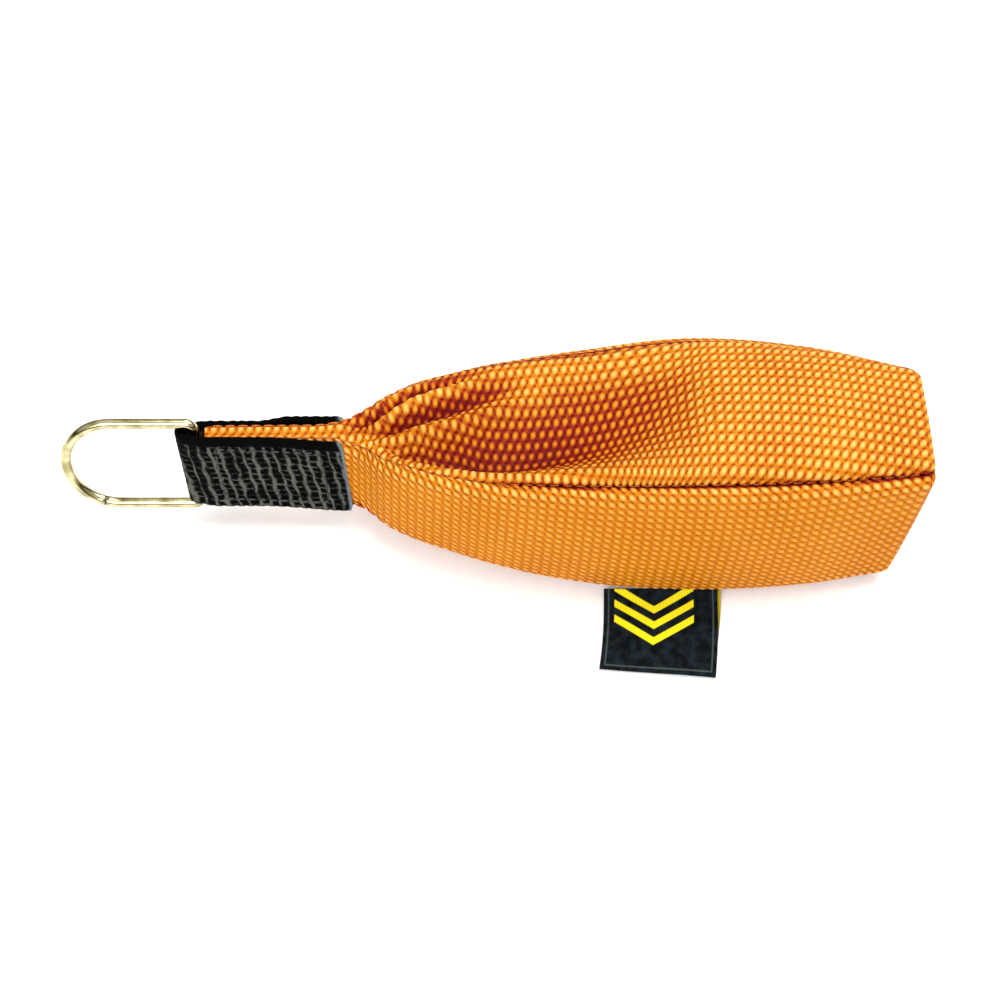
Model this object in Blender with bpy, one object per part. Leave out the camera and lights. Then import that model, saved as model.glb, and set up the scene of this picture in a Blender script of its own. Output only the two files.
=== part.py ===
"""Throw-weight bag: a shot-filled four-sided fabric bag with a webbing loop and a wire ring.

The bag lies on its bottom gusset with its length along X. The ring is at -X and the base panel at +X.
The origin is on the table, under the widest part of the bag. Sizes below are in millimetres.
"""
import math

import bpy
import numpy as np

MM = 0.001

# Seams of the bag, from the neck to the base: one point at each cross-section of the bag.
# An upper seam ends further out than a lower one, because the base panel leans out at the top.
UPPER_X = (-108.7, -74.6, -66.0, -48.0, -24.0, 4.0, 32.0, 57.0)
LOWER_X = (-108.7, -74.6, -66.0, -48.0, -24.0, 4.0, 30.0, 50.5)
TOP_FRONT = {
    "x": UPPER_X,
    "y": (3.0, 2.8, -4.7, -13.8, -18.3, -20.2, -18.6, -14.5),
    "z": (25.5, 25.7, 28.1, 32.2, 36.1, 39.0, 38.1, 35.6),
}
LOW_FRONT = {
    "x": LOWER_X,
    "y": (-3.2, -3.3, -8.4, -15.2, -21.2, -23.7, -22.6, -19.6),
    "z": (7.4, 7.4, 6.2, 4.4, 3.0, 2.6, 2.8, 4.0),
}
LOW_BACK = {
    "x": LOWER_X,
    "y": (1.0, 1.1, 7.9, 15.7, 21.8, 23.8, 22.2, 17.8),
    "z": (5.9, 6.0, 5.3, 4.0, 2.9, 2.6, 2.8, 4.0),
}
TOP_BACK = {
    "x": UPPER_X,
    "y": (7.1, 7.3, 14.0, 18.8, 22.2, 23.4, 20.2, 14.8),
    "z": (24.1, 24.3, 26.1, 28.5, 31.4, 34.8, 35.0, 33.1),
}
SEAMS = (TOP_FRONT, LOW_FRONT, LOW_BACK, TOP_BACK)
SEAM_NAMES = ("top_front", "low_front", "low_back", "top_back")

# How far each wall stands out past the straight line between its two seams, at the same cross-sections.
# The top gusset is folded in near the neck, so its figures are below zero there.
PANELS = ("front_panel", "bottom_gusset", "back_panel", "top_gusset")
CROWN = {
    "front_panel": (0.0, 0.0, 0.5, 1.5, 2.5, 3.0, 2.5, 0.6),
    "bottom_gusset": (0.0, 0.0, 1.0, 2.5, 3.5, 4.0, 3.5, 1.0),
    "back_panel": (0.0, 0.0, 0.5, 2.0, 3.5, 4.0, 3.5, 0.6),
    "top_gusset": (0.0, 0.0, -2.5, -5.5, -4.0, 3.0, 4.0, 0.8),
}
BASE_CROWN = 1.4

FABRIC = 0.9
GAP = 0.3
SEAM_TRIM = 0.95
BASE_TRIM = FABRIC + GAP
SEAM_INSET = 0.45
THREAD = 0.5
NECK_STEPS = 3
BELLY_STEPS = 20
WIDTH_STEPS = 6

LINER = 0.5
LINER_SKIN = 2.2
LINER_STEPS = 14
LINER_AROUND = 16
LINER_START = 0.345
LINER_NECK = 0.37
LINER_FULL = 0.47
LINER_END = 0.983
LINER_MOUTH = 0.28
TIE_AT = 0.357
TIE_CORD = 1.0
SHOT_START = 0.45
SHOT_END = 0.972

# The neck and the webbing stand on edge, leaning back from upright by LEAN.
LEAN = math.radians(19.0)
NECK_Y = 2.0
NECK_Z = 15.75
WEB_WIDTH = 20.0
WEB_THICK = 1.4
WEB_INNER = 2.5
WEB_END_X = -74.9
WEB_SLANT = math.tan(math.radians(5.0))
WEB_LEG_STEPS = 4
WEB_FOLD_STEPS = 10
WEB_EASE = 2.1

WIRE = 2.5
RING_HALF = 11.6
RING_BAR_X = -111.3
RING_ARC_X = -130.8
RING_ARC_REACH = 11.65
RING_CORNER = 2.2
RING_ARC_STEPS = 20
CORNER_STEPS = 4

STITCH_LEFT = -105.0
STITCH_RIGHT = -80.5
STITCH_HALF = 7.2
STITCH_SLANT = WEB_SLANT

LABEL_HINGE = (-24.3, 2.2)
LABEL_LEFT = -15.6
LABEL_WIDTH = 26.6
LABEL_TURN = math.radians(-4.6)
LABEL_THICK = 0.8
LABEL_CENTRE = ((0.0, 0.0), (0.7, -0.55), (1.8, -1.3), (3.2, -1.6), (20.2, -1.62))


def clear_scene():
    for old in list(bpy.data.objects):
        bpy.data.objects.remove(old, do_unlink=True)


def finish(name, colour, roughness, metallic=0.0):
    """A plain Principled material in the part's own colour."""
    material = bpy.data.materials.new(name)
    material.use_nodes = True
    shader = material.node_tree.nodes["Principled BSDF"]
    shader.inputs["Base Color"].default_value = (*colour, 1.0)
    shader.inputs["Roughness"].default_value = roughness
    shader.inputs["Metallic"].default_value = metallic
    return material


def add_object(name, data, material, pivot=(0.0, 0.0, 0.0), parent=None):
    """Links one sub-part, with its origin at pivot, given in millimetres."""
    data.materials.append(material)
    piece = bpy.data.objects.new(name, data)
    piece.location = [value * MM for value in pivot]
    piece.parent = parent
    bpy.context.scene.collection.objects.link(piece)
    return piece


def add_mesh(name, points, faces, material, pivot=(0.0, 0.0, 0.0), parent=None):
    mesh = bpy.data.meshes.new(name)
    local = (np.asarray(points) - np.asarray(pivot)) * MM
    mesh.from_pydata(local.tolist(), [], faces)
    mesh.validate()
    mesh.shade_smooth()
    mesh.set_sharp_from_angle(angle=math.radians(40.0))
    return add_object(name, mesh, material, pivot, parent)


def add_tube(name, points, diameter, material, closed, sides=2, pivot=(0.0, 0.0, 0.0), parent=None):
    """A round wire or thread along the points: a curve with a bevel."""
    curve = bpy.data.curves.new(name, "CURVE")
    curve.dimensions = "3D"
    curve.bevel_depth = diameter * MM / 2
    curve.bevel_resolution = sides
    curve.use_fill_caps = not closed
    spline = curve.splines.new("POLY")
    spline.points.add(len(points) - 1)
    local = (np.asarray(points) - np.asarray(pivot)) * MM
    for spot, place in zip(spline.points, local):
        spot.co = (*place, 1.0)
    spline.use_cyclic_u = closed
    return add_object(name, curve, material, pivot, parent)


def smooth(stations, t):
    """A smooth curve through values at the cross-sections, read at t from 0 (neck) to 1 (base)."""
    knots = (np.array(UPPER_X) - UPPER_X[0]) / (UPPER_X[-1] - UPPER_X[0])
    values = np.array(stations, dtype=float)
    slopes = np.gradient(values, knots)
    slopes[:2] = 0.0 if values[0] == values[1] else (values[1] - values[0]) / (knots[1] - knots[0])
    t = np.asarray(t, dtype=float)
    span = np.clip(np.searchsorted(knots, t, side="right") - 1, 0, len(knots) - 2)
    width = knots[span + 1] - knots[span]
    f = (t - knots[span]) / width
    return (
        (1 + 2 * f) * (1 - f) ** 2 * values[span]
        + f * (1 - f) ** 2 * width * slopes[span]
        + f * f * (3 - 2 * f) * values[span + 1]
        + f * f * (f - 1) * width * slopes[span + 1]
    )


def seam_point(seam, t):
    return np.stack([smooth(seam[axis], t) for axis in "xyz"], axis=-1)


def section_frame(t):
    """The middle of a cross-section, its up direction, its depth direction, and its two half sizes."""
    corners = [seam_point(seam, t) for seam in SEAMS]
    middle = sum(corners) / 4
    rise = (corners[0] + corners[3] - corners[1] - corners[2]) / 4
    up = rise * (0, 1, 1)
    half_up = np.linalg.norm(up, axis=-1, keepdims=True)
    up = up / half_up
    depth = np.stack([np.zeros_like(up[..., 0]), up[..., 2], -up[..., 1]], axis=-1)
    across = (corners[2] + corners[3] - corners[0] - corners[1]) / 4
    half_depth = np.abs(np.sum(across * depth, axis=-1, keepdims=True))
    return middle, up, depth, half_up, half_depth


def wall_point(panel, t, v):
    """Outer face of a wall: the chord between its seams plus a parabolic crown, no lower than the table."""
    index = PANELS.index(panel)
    start = seam_point(SEAMS[index], t)
    end = seam_point(SEAMS[(index + 1) % 4], t)
    v = np.asarray(v)[..., None]
    chord = end - start
    outward = np.stack([np.zeros_like(chord[..., 0]), -chord[..., 2], chord[..., 1]], axis=-1)
    outward = -outward / np.linalg.norm(outward, axis=-1, keepdims=True)
    height = smooth(CROWN[panel], t)[..., None]
    point = start + chord * v + outward * height * 4 * v * (1 - v)
    point[..., 2] = np.maximum(point[..., 2], 0.0)
    return point


def inset(point, t, amount):
    """Moves points in towards the middle of their cross-section, by amount at the middle of each wall."""
    middle, up, depth, half_up, half_depth = section_frame(t)
    away = point - middle
    rise = np.sum(away * up, axis=-1, keepdims=True) * amount / half_up
    reach = np.sum(away * depth, axis=-1, keepdims=True) * amount / half_depth
    return point - up * rise - depth * reach


def lengthwise(start, end):
    """Steps along the bag, with one exactly where the neck ends, so the neck stays straight."""
    length = UPPER_X[-1] - UPPER_X[0]
    neck = (UPPER_X[1] - UPPER_X[0]) / length
    return np.concatenate([np.linspace(start, neck, NECK_STEPS + 1)[:-1], np.linspace(neck, end, BELLY_STEPS + 1)])


def shell_faces(rows, columns):
    """Faces of a closed thin wall: an outer grid, an inner grid and the rim between them."""
    layer = rows * columns
    faces = []
    for i in range(rows - 1):
        for j in range(columns - 1):
            a = i * columns + j
            b = a + 1
            c = a + columns + 1
            d = a + columns
            faces.append((a, b, c))
            faces.append((a, c, d))
            faces.append((layer + a, layer + c, layer + b))
            faces.append((layer + a, layer + d, layer + c))
    rim = [j for j in range(columns)]
    rim += [i * columns + columns - 1 for i in range(1, rows)]
    rim += [(rows - 1) * columns + j for j in range(columns - 2, -1, -1)]
    rim += [i * columns for i in range(rows - 2, 0, -1)]
    for here, after in zip(rim, rim[1:] + rim[:1]):
        faces.append((here, layer + here, after))
        faces.append((after, layer + here, layer + after))
    return faces


def make_wall(panel, material, parent):
    """One side wall of the bag, cut back from its seams so that the seam threads fit between the walls."""
    length = UPPER_X[-1] - UPPER_X[0]
    steps = lengthwise(0.0, 1.0 - BASE_TRIM / length)
    t = np.repeat(steps[:, None], WIDTH_STEPS + 1, axis=1)
    index = PANELS.index(panel)
    chord = seam_point(SEAMS[(index + 1) % 4], t) - seam_point(SEAMS[index], t)
    margin = SEAM_TRIM / np.linalg.norm(chord, axis=-1)
    v = margin + (1 - 2 * margin) * np.linspace(0.0, 1.0, WIDTH_STEPS + 1)
    outer = wall_point(panel, t, v)
    inner = inset(outer, t, FABRIC)
    points = np.concatenate([outer.reshape(-1, 3), inner.reshape(-1, 3)])
    add_mesh(panel, points, shell_faces(len(steps), WIDTH_STEPS + 1), material, parent=parent)


def base_point(a, b):
    """Outer face of the base: the patch between the four wall ends, crowned outwards."""
    one = np.ones_like(a)
    front = wall_point("front_panel", one, b)
    back = wall_point("back_panel", one, 1 - b)
    top = wall_point("top_gusset", one, 1 - a)
    bottom = wall_point("bottom_gusset", one, a)
    corner = [seam_point(seam, one) for seam in SEAMS]
    a = a[..., None]
    b = b[..., None]
    sides = front * (1 - a) + back * a + top * (1 - b) + bottom * b
    flat = (corner[0] * (1 - b) + corner[1] * b) * (1 - a) + (corner[3] * (1 - b) + corner[2] * b) * a
    point = sides - flat
    point[..., 0] += (16 * BASE_CROWN * a * (1 - a) * b * (1 - b))[..., 0]
    return point


def make_base(material, parent):
    width = np.linalg.norm(seam_point(TOP_BACK, 1.0) - seam_point(TOP_FRONT, 1.0))
    margin = BASE_TRIM / width
    steps = np.linspace(margin, 1 - margin, WIDTH_STEPS + 1)
    a, b = np.meshgrid(steps, steps, indexing="ij")
    outer = base_point(a, b)
    inner = outer - (FABRIC, 0.0, 0.0)
    points = np.concatenate([outer.reshape(-1, 3), inner.reshape(-1, 3)])
    add_mesh("base_panel", points, shell_faces(WIDTH_STEPS + 1, WIDTH_STEPS + 1), material, parent=parent)


def make_seam_threads(material, parent):
    """The four long seams, each a thread lying in the groove between two walls, and the base seam."""
    length = UPPER_X[-1] - UPPER_X[0]
    t = lengthwise(0.004, 1.0 - (BASE_TRIM + THREAD + GAP) / length)
    for name, seam in zip(SEAM_NAMES, SEAMS):
        line = inset(seam_point(seam, t), t, SEAM_INSET)
        add_tube("seam_thread_" + name, line, THREAD, material, closed=False, sides=1, parent=parent)
    at = np.full(WIDTH_STEPS, 1.0 - (BASE_TRIM / 2) / length)
    v = np.arange(WIDTH_STEPS) / WIDTH_STEPS
    loop = np.concatenate([wall_point(panel, at, v) for panel in PANELS])
    loop = inset(loop, np.full(len(loop), at[0]), SEAM_INSET)
    add_tube("seam_thread_base", loop, THREAD, material, closed=True, sides=1, parent=parent)


def ring_of_skin(t, amount, gather=1.0):
    """Points once around the bag at t, moved in by amount and drawn towards the middle by gather."""
    per_wall = LINER_AROUND // 4
    v = np.arange(per_wall) / per_wall
    at = np.full(per_wall, t)
    loop = np.concatenate([wall_point(panel, at, v) for panel in PANELS])
    every = np.full(len(loop), t)
    loop = inset(loop, every, amount)
    middle = section_frame(every)[0]
    return middle + (loop - middle) * gather


def tube_faces(rings, around, start=0, flip=False):
    faces = []
    for i in range(rings - 1):
        for j in range(around):
            a = start + i * around + j
            b = start + i * around + (j + 1) % around
            c = b + around
            d = a + around
            faces.append((a, b, c))
            faces.append((a, c, d))
    return [face[::-1] for face in faces] if flip else faces


def fan(ring_start, around, hub, flip=False):
    faces = [(hub, ring_start + j, ring_start + (j + 1) % around) for j in range(around)]
    return [face[::-1] for face in faces] if flip else faces


def liner_gather(t):
    """How far the liner is drawn in: narrow at its tied neck, then swelling to full."""
    swell = np.clip((t - LINER_NECK) / (LINER_FULL - LINER_NECK), 0.0, 1.0)
    return LINER_MOUTH + (1 - LINER_MOUTH) * swell * swell * (3 - 2 * swell)


def make_liner(material, parent):
    """The shot's own sack: gathered to a narrow open mouth, full along the belly, closed at the base."""
    t = np.concatenate([[LINER_START], np.linspace(LINER_NECK, LINER_END, LINER_STEPS)])
    draw = liner_gather(t)
    outer = [ring_of_skin(at, LINER_SKIN, gather) for at, gather in zip(t, draw)]
    thinner = t - np.where(t == t[-1], LINER / (UPPER_X[-1] - UPPER_X[0]), 0.0)
    inner = [ring_of_skin(at, LINER_SKIN + LINER / gather, gather) for at, gather in zip(thinner, draw)]
    count = LINER_AROUND * (LINER_STEPS + 1)
    points = np.concatenate(outer + inner + [[outer[-1].mean(axis=0)], [inner[-1].mean(axis=0)]])
    faces = tube_faces(LINER_STEPS + 1, LINER_AROUND)
    faces += tube_faces(LINER_STEPS + 1, LINER_AROUND, count, flip=True)
    faces += fan(count - LINER_AROUND, LINER_AROUND, 2 * count, flip=False)
    faces += fan(2 * count - LINER_AROUND, LINER_AROUND, 2 * count + 1, flip=True)
    for j in range(LINER_AROUND):
        after = (j + 1) % LINER_AROUND
        faces.append((j, count + j, after))
        faces.append((after, count + j, count + after))
    add_mesh("inner_liner", points, faces, material, parent=parent)


def make_tie(material, parent):
    """The cord round the liner's mouth, a closed loop just outside it."""
    loop = ring_of_skin(TIE_AT, LINER_SKIN, liner_gather(TIE_AT))
    middle = loop.mean(axis=0)
    away = loop - middle
    reach = np.linalg.norm(away, axis=-1, keepdims=True)
    loop = middle + away * (reach + TIE_CORD / 2 + 2 * GAP) / reach
    add_tube("liner_tie", loop, TIE_CORD, material, closed=True, sides=2, parent=parent)


def make_shot(material, parent):
    """The shot, one solid that fills the liner's belly."""
    t = np.linspace(SHOT_START, SHOT_END, LINER_STEPS)
    skin = LINER_SKIN + LINER + 2 * GAP
    front_cap = np.clip((t - SHOT_START) / (LINER_FULL - SHOT_START) * 0.5 + 0.5, 0.5, 0.98)
    rings = [ring_of_skin(at, skin, gather) for at, gather in zip(t, front_cap)]
    points = np.concatenate(rings + [[rings[0].mean(axis=0)], [rings[-1].mean(axis=0)]])
    count = LINER_AROUND * LINER_STEPS
    faces = tube_faces(LINER_STEPS, LINER_AROUND)
    faces += fan(0, LINER_AROUND, count, flip=True)
    faces += fan(count - LINER_AROUND, LINER_AROUND, count + 1)
    add_mesh("shot_fill", points, faces, material, parent=parent)


def on_neck(x, s, n):
    """A point of the neck's own frame: s up along the webbing's width, n through its thickness."""
    x, s, n = np.broadcast_arrays(x, s, n)
    y = NECK_Y + s * math.sin(LEAN) + n * math.cos(LEAN)
    z = NECK_Z + s * math.cos(LEAN) - n * math.sin(LEAN)
    return np.stack([x, y, z], axis=-1)


def webbing_path(offset):
    """Side view of the loop at a distance offset from its inner face: leg, fold around the bar, leg."""
    turn = WIRE / 2 + GAP + offset
    leg = WEB_INNER + offset
    legs = np.linspace(WEB_END_X, RING_BAR_X + WEB_EASE, WEB_LEG_STEPS)
    angle = np.linspace(math.pi / 2, 3 * math.pi / 2, WEB_FOLD_STEPS + 1)
    fold_x = RING_BAR_X + turn * np.cos(angle)
    fold_n = turn * np.sin(angle)
    x = np.concatenate([legs, fold_x, legs[::-1]])
    n = np.concatenate([np.full(len(legs), leg), fold_n, np.full(len(legs), -leg)])
    return x, n


def make_webbing(material, parent):
    """The loop of webbing. Its ends and its fold slant a little across its width."""
    rows = []
    for offset in (WEB_THICK, 0.0):
        x, n = webbing_path(offset)
        for s in (-WEB_WIDTH / 2, WEB_WIDTH / 2):
            rows.append(on_neck(x - WEB_SLANT * (s + WEB_WIDTH / 2), s, n))
    around = len(x)
    outer = np.stack(rows[:2], axis=1).reshape(-1, 3)
    inner = np.stack(rows[2:], axis=1).reshape(-1, 3)
    faces = [face[::-1] for face in shell_faces(around, 2)]
    add_mesh("webbing_loop", np.concatenate([outer, inner]), faces, material, parent=parent)


def ring_path():
    """Middle line of the D-shaped wire: bar, corner, leg, half round, leg, corner."""
    turn = np.linspace(0.0, math.pi / 2, CORNER_STEPS + 1)
    centre_x = RING_BAR_X - RING_CORNER
    centre_s = RING_HALF - RING_CORNER
    upper_x = centre_x + RING_CORNER * np.cos(turn)
    upper_s = centre_s + RING_CORNER * np.sin(turn)
    sweep = np.linspace(math.pi / 2, 3 * math.pi / 2, RING_ARC_STEPS + 1)
    arc_x = RING_ARC_X + RING_ARC_REACH * np.cos(sweep)
    arc_s = RING_HALF * np.sin(sweep)
    x = np.concatenate([upper_x, arc_x, upper_x[::-1]])
    s = np.concatenate([upper_s, arc_s, -upper_s[::-1]])
    return on_neck(x, s, 0.0)


def make_ring(material, parent):
    pivot = on_neck(RING_BAR_X, 0.0, 0.0)
    add_tube("ring", ring_path(), WIRE, material, closed=True, sides=2, pivot=pivot, parent=parent)


def make_box_stitches(material, parent):
    """The box stitch where it shows on each leg of the webbing: one closed loop of thread."""
    corners = ((STITCH_LEFT, 1), (STITCH_RIGHT, 1), (STITCH_RIGHT, -1), (STITCH_LEFT, -1))
    x = np.array([x for x, side in corners])
    s = np.array([side * STITCH_HALF for x, side in corners])
    reach = WEB_INNER + WEB_THICK + GAP + THREAD / 2
    for name, side in (("front_box_stitch", -1), ("back_box_stitch", 1)):
        loop = on_neck(x - STITCH_SLANT * (s + STITCH_HALF), s, side * reach)
        add_tube(name, loop, THREAD, material, closed=True, sides=2, parent=parent)


def make_label(material, parent):
    """The folded label: it leaves the lower front seam, drops to the table and lies on it."""
    reach = np.array([point[0] for point in LABEL_CENTRE])
    drop = np.array([point[1] for point in LABEL_CENTRE])
    slope = np.gradient(drop, reach)
    scale = LABEL_THICK / 2 / np.sqrt(1 + slope**2)
    rows = []
    for side in (1, -1):
        out = reach - side * scale * slope
        high = drop + side * scale
        for across in (0.0, LABEL_WIDTH):
            turn = out / out[-1] * LABEL_TURN
            x = LABEL_LEFT + across + out * np.sin(turn)
            y = LABEL_HINGE[0] - out + across * np.sin(turn) * out / out[-1]
            rows.append(np.stack([x, y, LABEL_HINGE[1] + high], axis=-1))
    upper = np.stack(rows[:2], axis=1).reshape(-1, 3)
    lower = np.stack(rows[2:], axis=1).reshape(-1, 3)
    pivot = (LABEL_LEFT + LABEL_WIDTH / 2, *LABEL_HINGE)
    faces = [face[::-1] for face in shell_faces(len(reach), 2)]
    add_mesh("label", np.concatenate([upper, lower]), faces, material, pivot, parent)


def main():
    clear_scene()
    nylon = finish("orange_nylon", (0.80, 0.36, 0.06), 0.6)
    webbing = finish("black_webbing", (0.022, 0.023, 0.022), 0.75)
    steel = finish("plated_steel", (0.78, 0.76, 0.68), 0.22, 1.0)
    orange_thread = finish("orange_thread", (0.62, 0.22, 0.03), 0.6)
    black_thread = finish("black_thread", (0.02, 0.02, 0.02), 0.6)
    woven = finish("black_label", (0.012, 0.014, 0.016), 0.7)
    sacking = finish("natural_liner", (0.70, 0.68, 0.62), 0.8)
    shot = finish("grey_shot", (0.30, 0.30, 0.31), 0.45, 1.0)

    bag = bpy.data.objects.new("bag_frame", None)
    bpy.context.scene.collection.objects.link(bag)
    for panel in PANELS:
        make_wall(panel, nylon, bag)
    make_base(nylon, bag)
    make_seam_threads(orange_thread, bag)
    make_liner(sacking, bag)
    make_tie(black_thread, bag)
    make_shot(shot, bag)
    make_webbing(webbing, bag)
    make_box_stitches(black_thread, bag)
    make_ring(steel, bag)
    make_label(woven, bag)


main()
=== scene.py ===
"""Throw-weight bag: the looks of a shot-filled nylon bag, its webbing loop, wire ring and woven label.

Shapes are worked out with numpy in millimetres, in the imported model's frame, and made meshes in metres.
"""
import math

import bpy
import mathutils
import numpy as np
from bpy.props import FloatProperty, FloatVectorProperty, PointerProperty
from bpy.types import Operator, Panel, PropertyGroup
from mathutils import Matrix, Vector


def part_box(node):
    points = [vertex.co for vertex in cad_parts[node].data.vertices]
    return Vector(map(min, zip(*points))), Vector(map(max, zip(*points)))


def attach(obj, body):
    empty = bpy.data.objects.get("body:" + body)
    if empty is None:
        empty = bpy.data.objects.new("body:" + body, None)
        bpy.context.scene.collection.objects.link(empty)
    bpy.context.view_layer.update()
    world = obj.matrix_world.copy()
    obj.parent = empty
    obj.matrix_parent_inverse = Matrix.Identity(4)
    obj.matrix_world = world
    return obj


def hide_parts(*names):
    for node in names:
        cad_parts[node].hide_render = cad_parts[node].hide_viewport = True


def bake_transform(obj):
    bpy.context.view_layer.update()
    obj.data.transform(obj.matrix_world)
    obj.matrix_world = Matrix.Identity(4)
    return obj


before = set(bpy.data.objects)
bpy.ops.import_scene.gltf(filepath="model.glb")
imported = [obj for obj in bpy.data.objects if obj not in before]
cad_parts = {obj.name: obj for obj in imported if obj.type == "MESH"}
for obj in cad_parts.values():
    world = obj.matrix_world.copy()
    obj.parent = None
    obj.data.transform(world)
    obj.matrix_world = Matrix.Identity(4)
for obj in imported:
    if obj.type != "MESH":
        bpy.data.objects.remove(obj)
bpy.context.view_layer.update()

bl_info = {
    "name": "Throw-weight bag",
    "version": (1, 0, 0),
    "blender": (4, 5, 0),
    "location": "3D View > Sidebar > Throw bag",
    "description": "Makes a shot-filled nylon throw bag with its webbing loop, wire ring and label",
    "category": "Add Mesh",
}

MM = 0.001

# --- The bag's design, in millimetres: the seams at eight cross-sections from the neck to the base ---
UPPER_X = (-108.7, -74.6, -66.0, -48.0, -24.0, 4.0, 32.0, 57.0)
LOWER_X = (-108.7, -74.6, -66.0, -48.0, -24.0, 4.0, 30.0, 50.5)
TOP_FRONT = {
    "x": UPPER_X,
    "y": (3.0, 2.8, -4.7, -13.8, -18.3, -20.2, -18.6, -14.5),
    "z": (25.5, 25.7, 28.1, 32.2, 36.1, 39.0, 38.1, 35.6),
}
LOW_FRONT = {
    "x": LOWER_X,
    "y": (-3.2, -3.7, -9.2, -15.9, -21.7, -24.0, -23.0, -20.3),
    "z": (7.4, 6.4, 4.8, 3.0, 1.6, 1.2, 1.5, 2.2),
}
LOW_BACK = {
    "x": LOWER_X,
    "y": (1.0, 1.1, 7.9, 15.7, 21.8, 23.8, 22.2, 17.8),
    "z": (5.9, 6.0, 5.3, 4.0, 2.9, 2.6, 2.8, 4.0),
}
TOP_BACK = {
    "x": UPPER_X,
    "y": (7.1, 7.3, 14.0, 18.8, 22.4, 23.9, 21.0, 16.3),
    "z": (24.1, 24.3, 26.1, 28.6, 31.8, 35.5, 36.0, 34.6),
}
SEAMS = (TOP_FRONT, LOW_FRONT, LOW_BACK, TOP_BACK)
SEAM_NAMES = ("top_front", "low_front", "low_back", "top_back")
PANELS = ("front_panel", "bottom_gusset", "back_panel", "top_gusset")
LENGTH = UPPER_X[-1] - UPPER_X[0]

# How far each wall stands out past the straight line between its seams, at the same cross-sections.
CROWN = {
    "front_panel": (0.0, 0.0, 1.2, 2.0, 2.6, 3.0, 2.6, 0.8),
    "bottom_gusset": (0.0, 0.0, 1.0, 2.5, 3.5, 4.0, 3.5, 1.0),
    "back_panel": (0.0, 0.0, 1.2, 2.4, 3.5, 4.0, 3.5, 0.8),
    "top_gusset": (0.1, 0.3, 1.4, 1.8, 2.4, 3.4, 4.0, 0.9),
}
BASE_CROWN = 1.5
FABRIC = 0.9

# The top gusset folds in towards the neck: a hollow with its deepest line nearer the front seam.
# Each is (distance x along the bag, value).
HOLLOW_DEPTH = (
    *((-76, 0.0), (-70, 2.0), (-62, 5.4), (-50, 9.4), (-38, 10.4)),
    *((-26, 9.3), (-14, 7.2), (-4, 4.8), (3, 2.2), (8, 0.0)),
)
HOLLOW_LINE = ((-76, 0.26), (-64, 0.20), (-48, 0.25), (-30, 0.33), (-12, 0.43), (9, 0.55))
# Smaller folds that fan out from the end of the webbing: each has its width, and its line as (x, share of the
# gusset's width, depth), a depth under 0 being a ridge.
FOLDS = (
    (1.6, (
        *((-77, 0.50, 0.0), (-73, 0.56, 1.6), (-69, 0.64, 2.7)),
        *((-60, 0.79, 3.0), (-53, 0.85, 2.2), (-42, 0.90, 0.0)),
    )),
    (1.6, ((-75, 0.36, 0.0), (-67, 0.55, -1.4), (-56, 0.76, -1.3), (-42, 0.86, 0.0))),
    (2.3, ((-74, 0.30, 0.0), (-65, 0.44, 2.2), (-55, 0.60, 2.6), (-46, 0.70, 2.0), (-33, 0.80, 0.0))),
    (2.1, ((-75, 0.12, 0.0), (-65, 0.30, -2.0), (-54, 0.46, -2.4), (-41, 0.60, -1.5), (-27, 0.70, 0.0))),
)

# Where the gathered cloth leaves the webbing, the top seams spread along SPREAD_DIRECTION: (x, how far).
SPREAD_BACK = (
    *((-82, 0.0), (-77, 0.9), (-73, 2.3), (-69.5, 1.6), (-66, 0.8)),
    *((-59, 1.0), (-50, 1.4), (-34, 0.7), (-18, 0.0)),
)
SPREAD_FRONT = ((-78, 0.0), (-74, -1.5), (-70, -1.2), (-66, -0.6), (-60, 0.0))
SPREAD_DIRECTION = (0.0, 0.7, 0.75)

# Seams sink between the walls that they join, each by its share of SINK.
SINK = (0.35, 0.35, 0.8, 1.5, 2.1, 2.5, 2.3, 1.6)
ROLL = (1.2, 1.2, 2.2, 3.2, 4.0, 4.4, 4.2, 3.2)
SINK_SHARE = (1.0, 0.4, 0.4, 0.45)
BASE_SINK = 0.8
BASE_ROLL = 2.8
BASE_BREADTH = 31.0

# The neck and the webbing stand on edge, leaning back from upright.
LEAN = math.radians(19.0)
NECK_Y = 2.0
NECK_Z = 15.75
WEB_WIDTH = 20.0
WEB_THICK = 1.4
WEB_INNER = 2.5
WEB_END_X = -74.9
WEB_SLANT = math.tan(math.radians(5.0))
WEB_EASE = 2.1
WIRE = 2.5
RING_HALF = 11.6
RING_BAR_X = -111.3
RING_ARC_X = -130.8
RING_ARC_REACH = 11.65
RING_CORNER = 2.2
RING_WELD = -0.32
GAP = 0.3
STITCH_LEFT = -105.0
STITCH_RIGHT = -80.5
STITCH_HALF = 7.2

# The label leaves the lower front seam at its hinge, drops, and lies flat: (reach, drop) of its middle.
LABEL_HINGE = (-24.3, 2.2)
LABEL_LEFT = -15.6
LABEL_WIDTH = 26.6
LABEL_TURN = math.radians(-4.6)
LABEL_LAYER = 0.36
LABEL_HALF = 0.4
# Its mark, in millimetres but for MARK_CENTRE, a share of its width, and CHEVRON_PITCH, in strokes.
MARK_CENTRE = 0.44
MARK_SPAN = (3.6, 15.0)
MARK_HALF = 9.2
CHEVRON_START = 5.2
CHEVRON_SLOPE = 0.62
CHEVRON_PITCH = 2.1
MARK_BLUR = 0.08
LABEL_CENTRE = ((0.0, 0.0), (0.7, -0.55), (1.8, -1.3), (3.2, -1.6), (20.2, -1.62))

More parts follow.
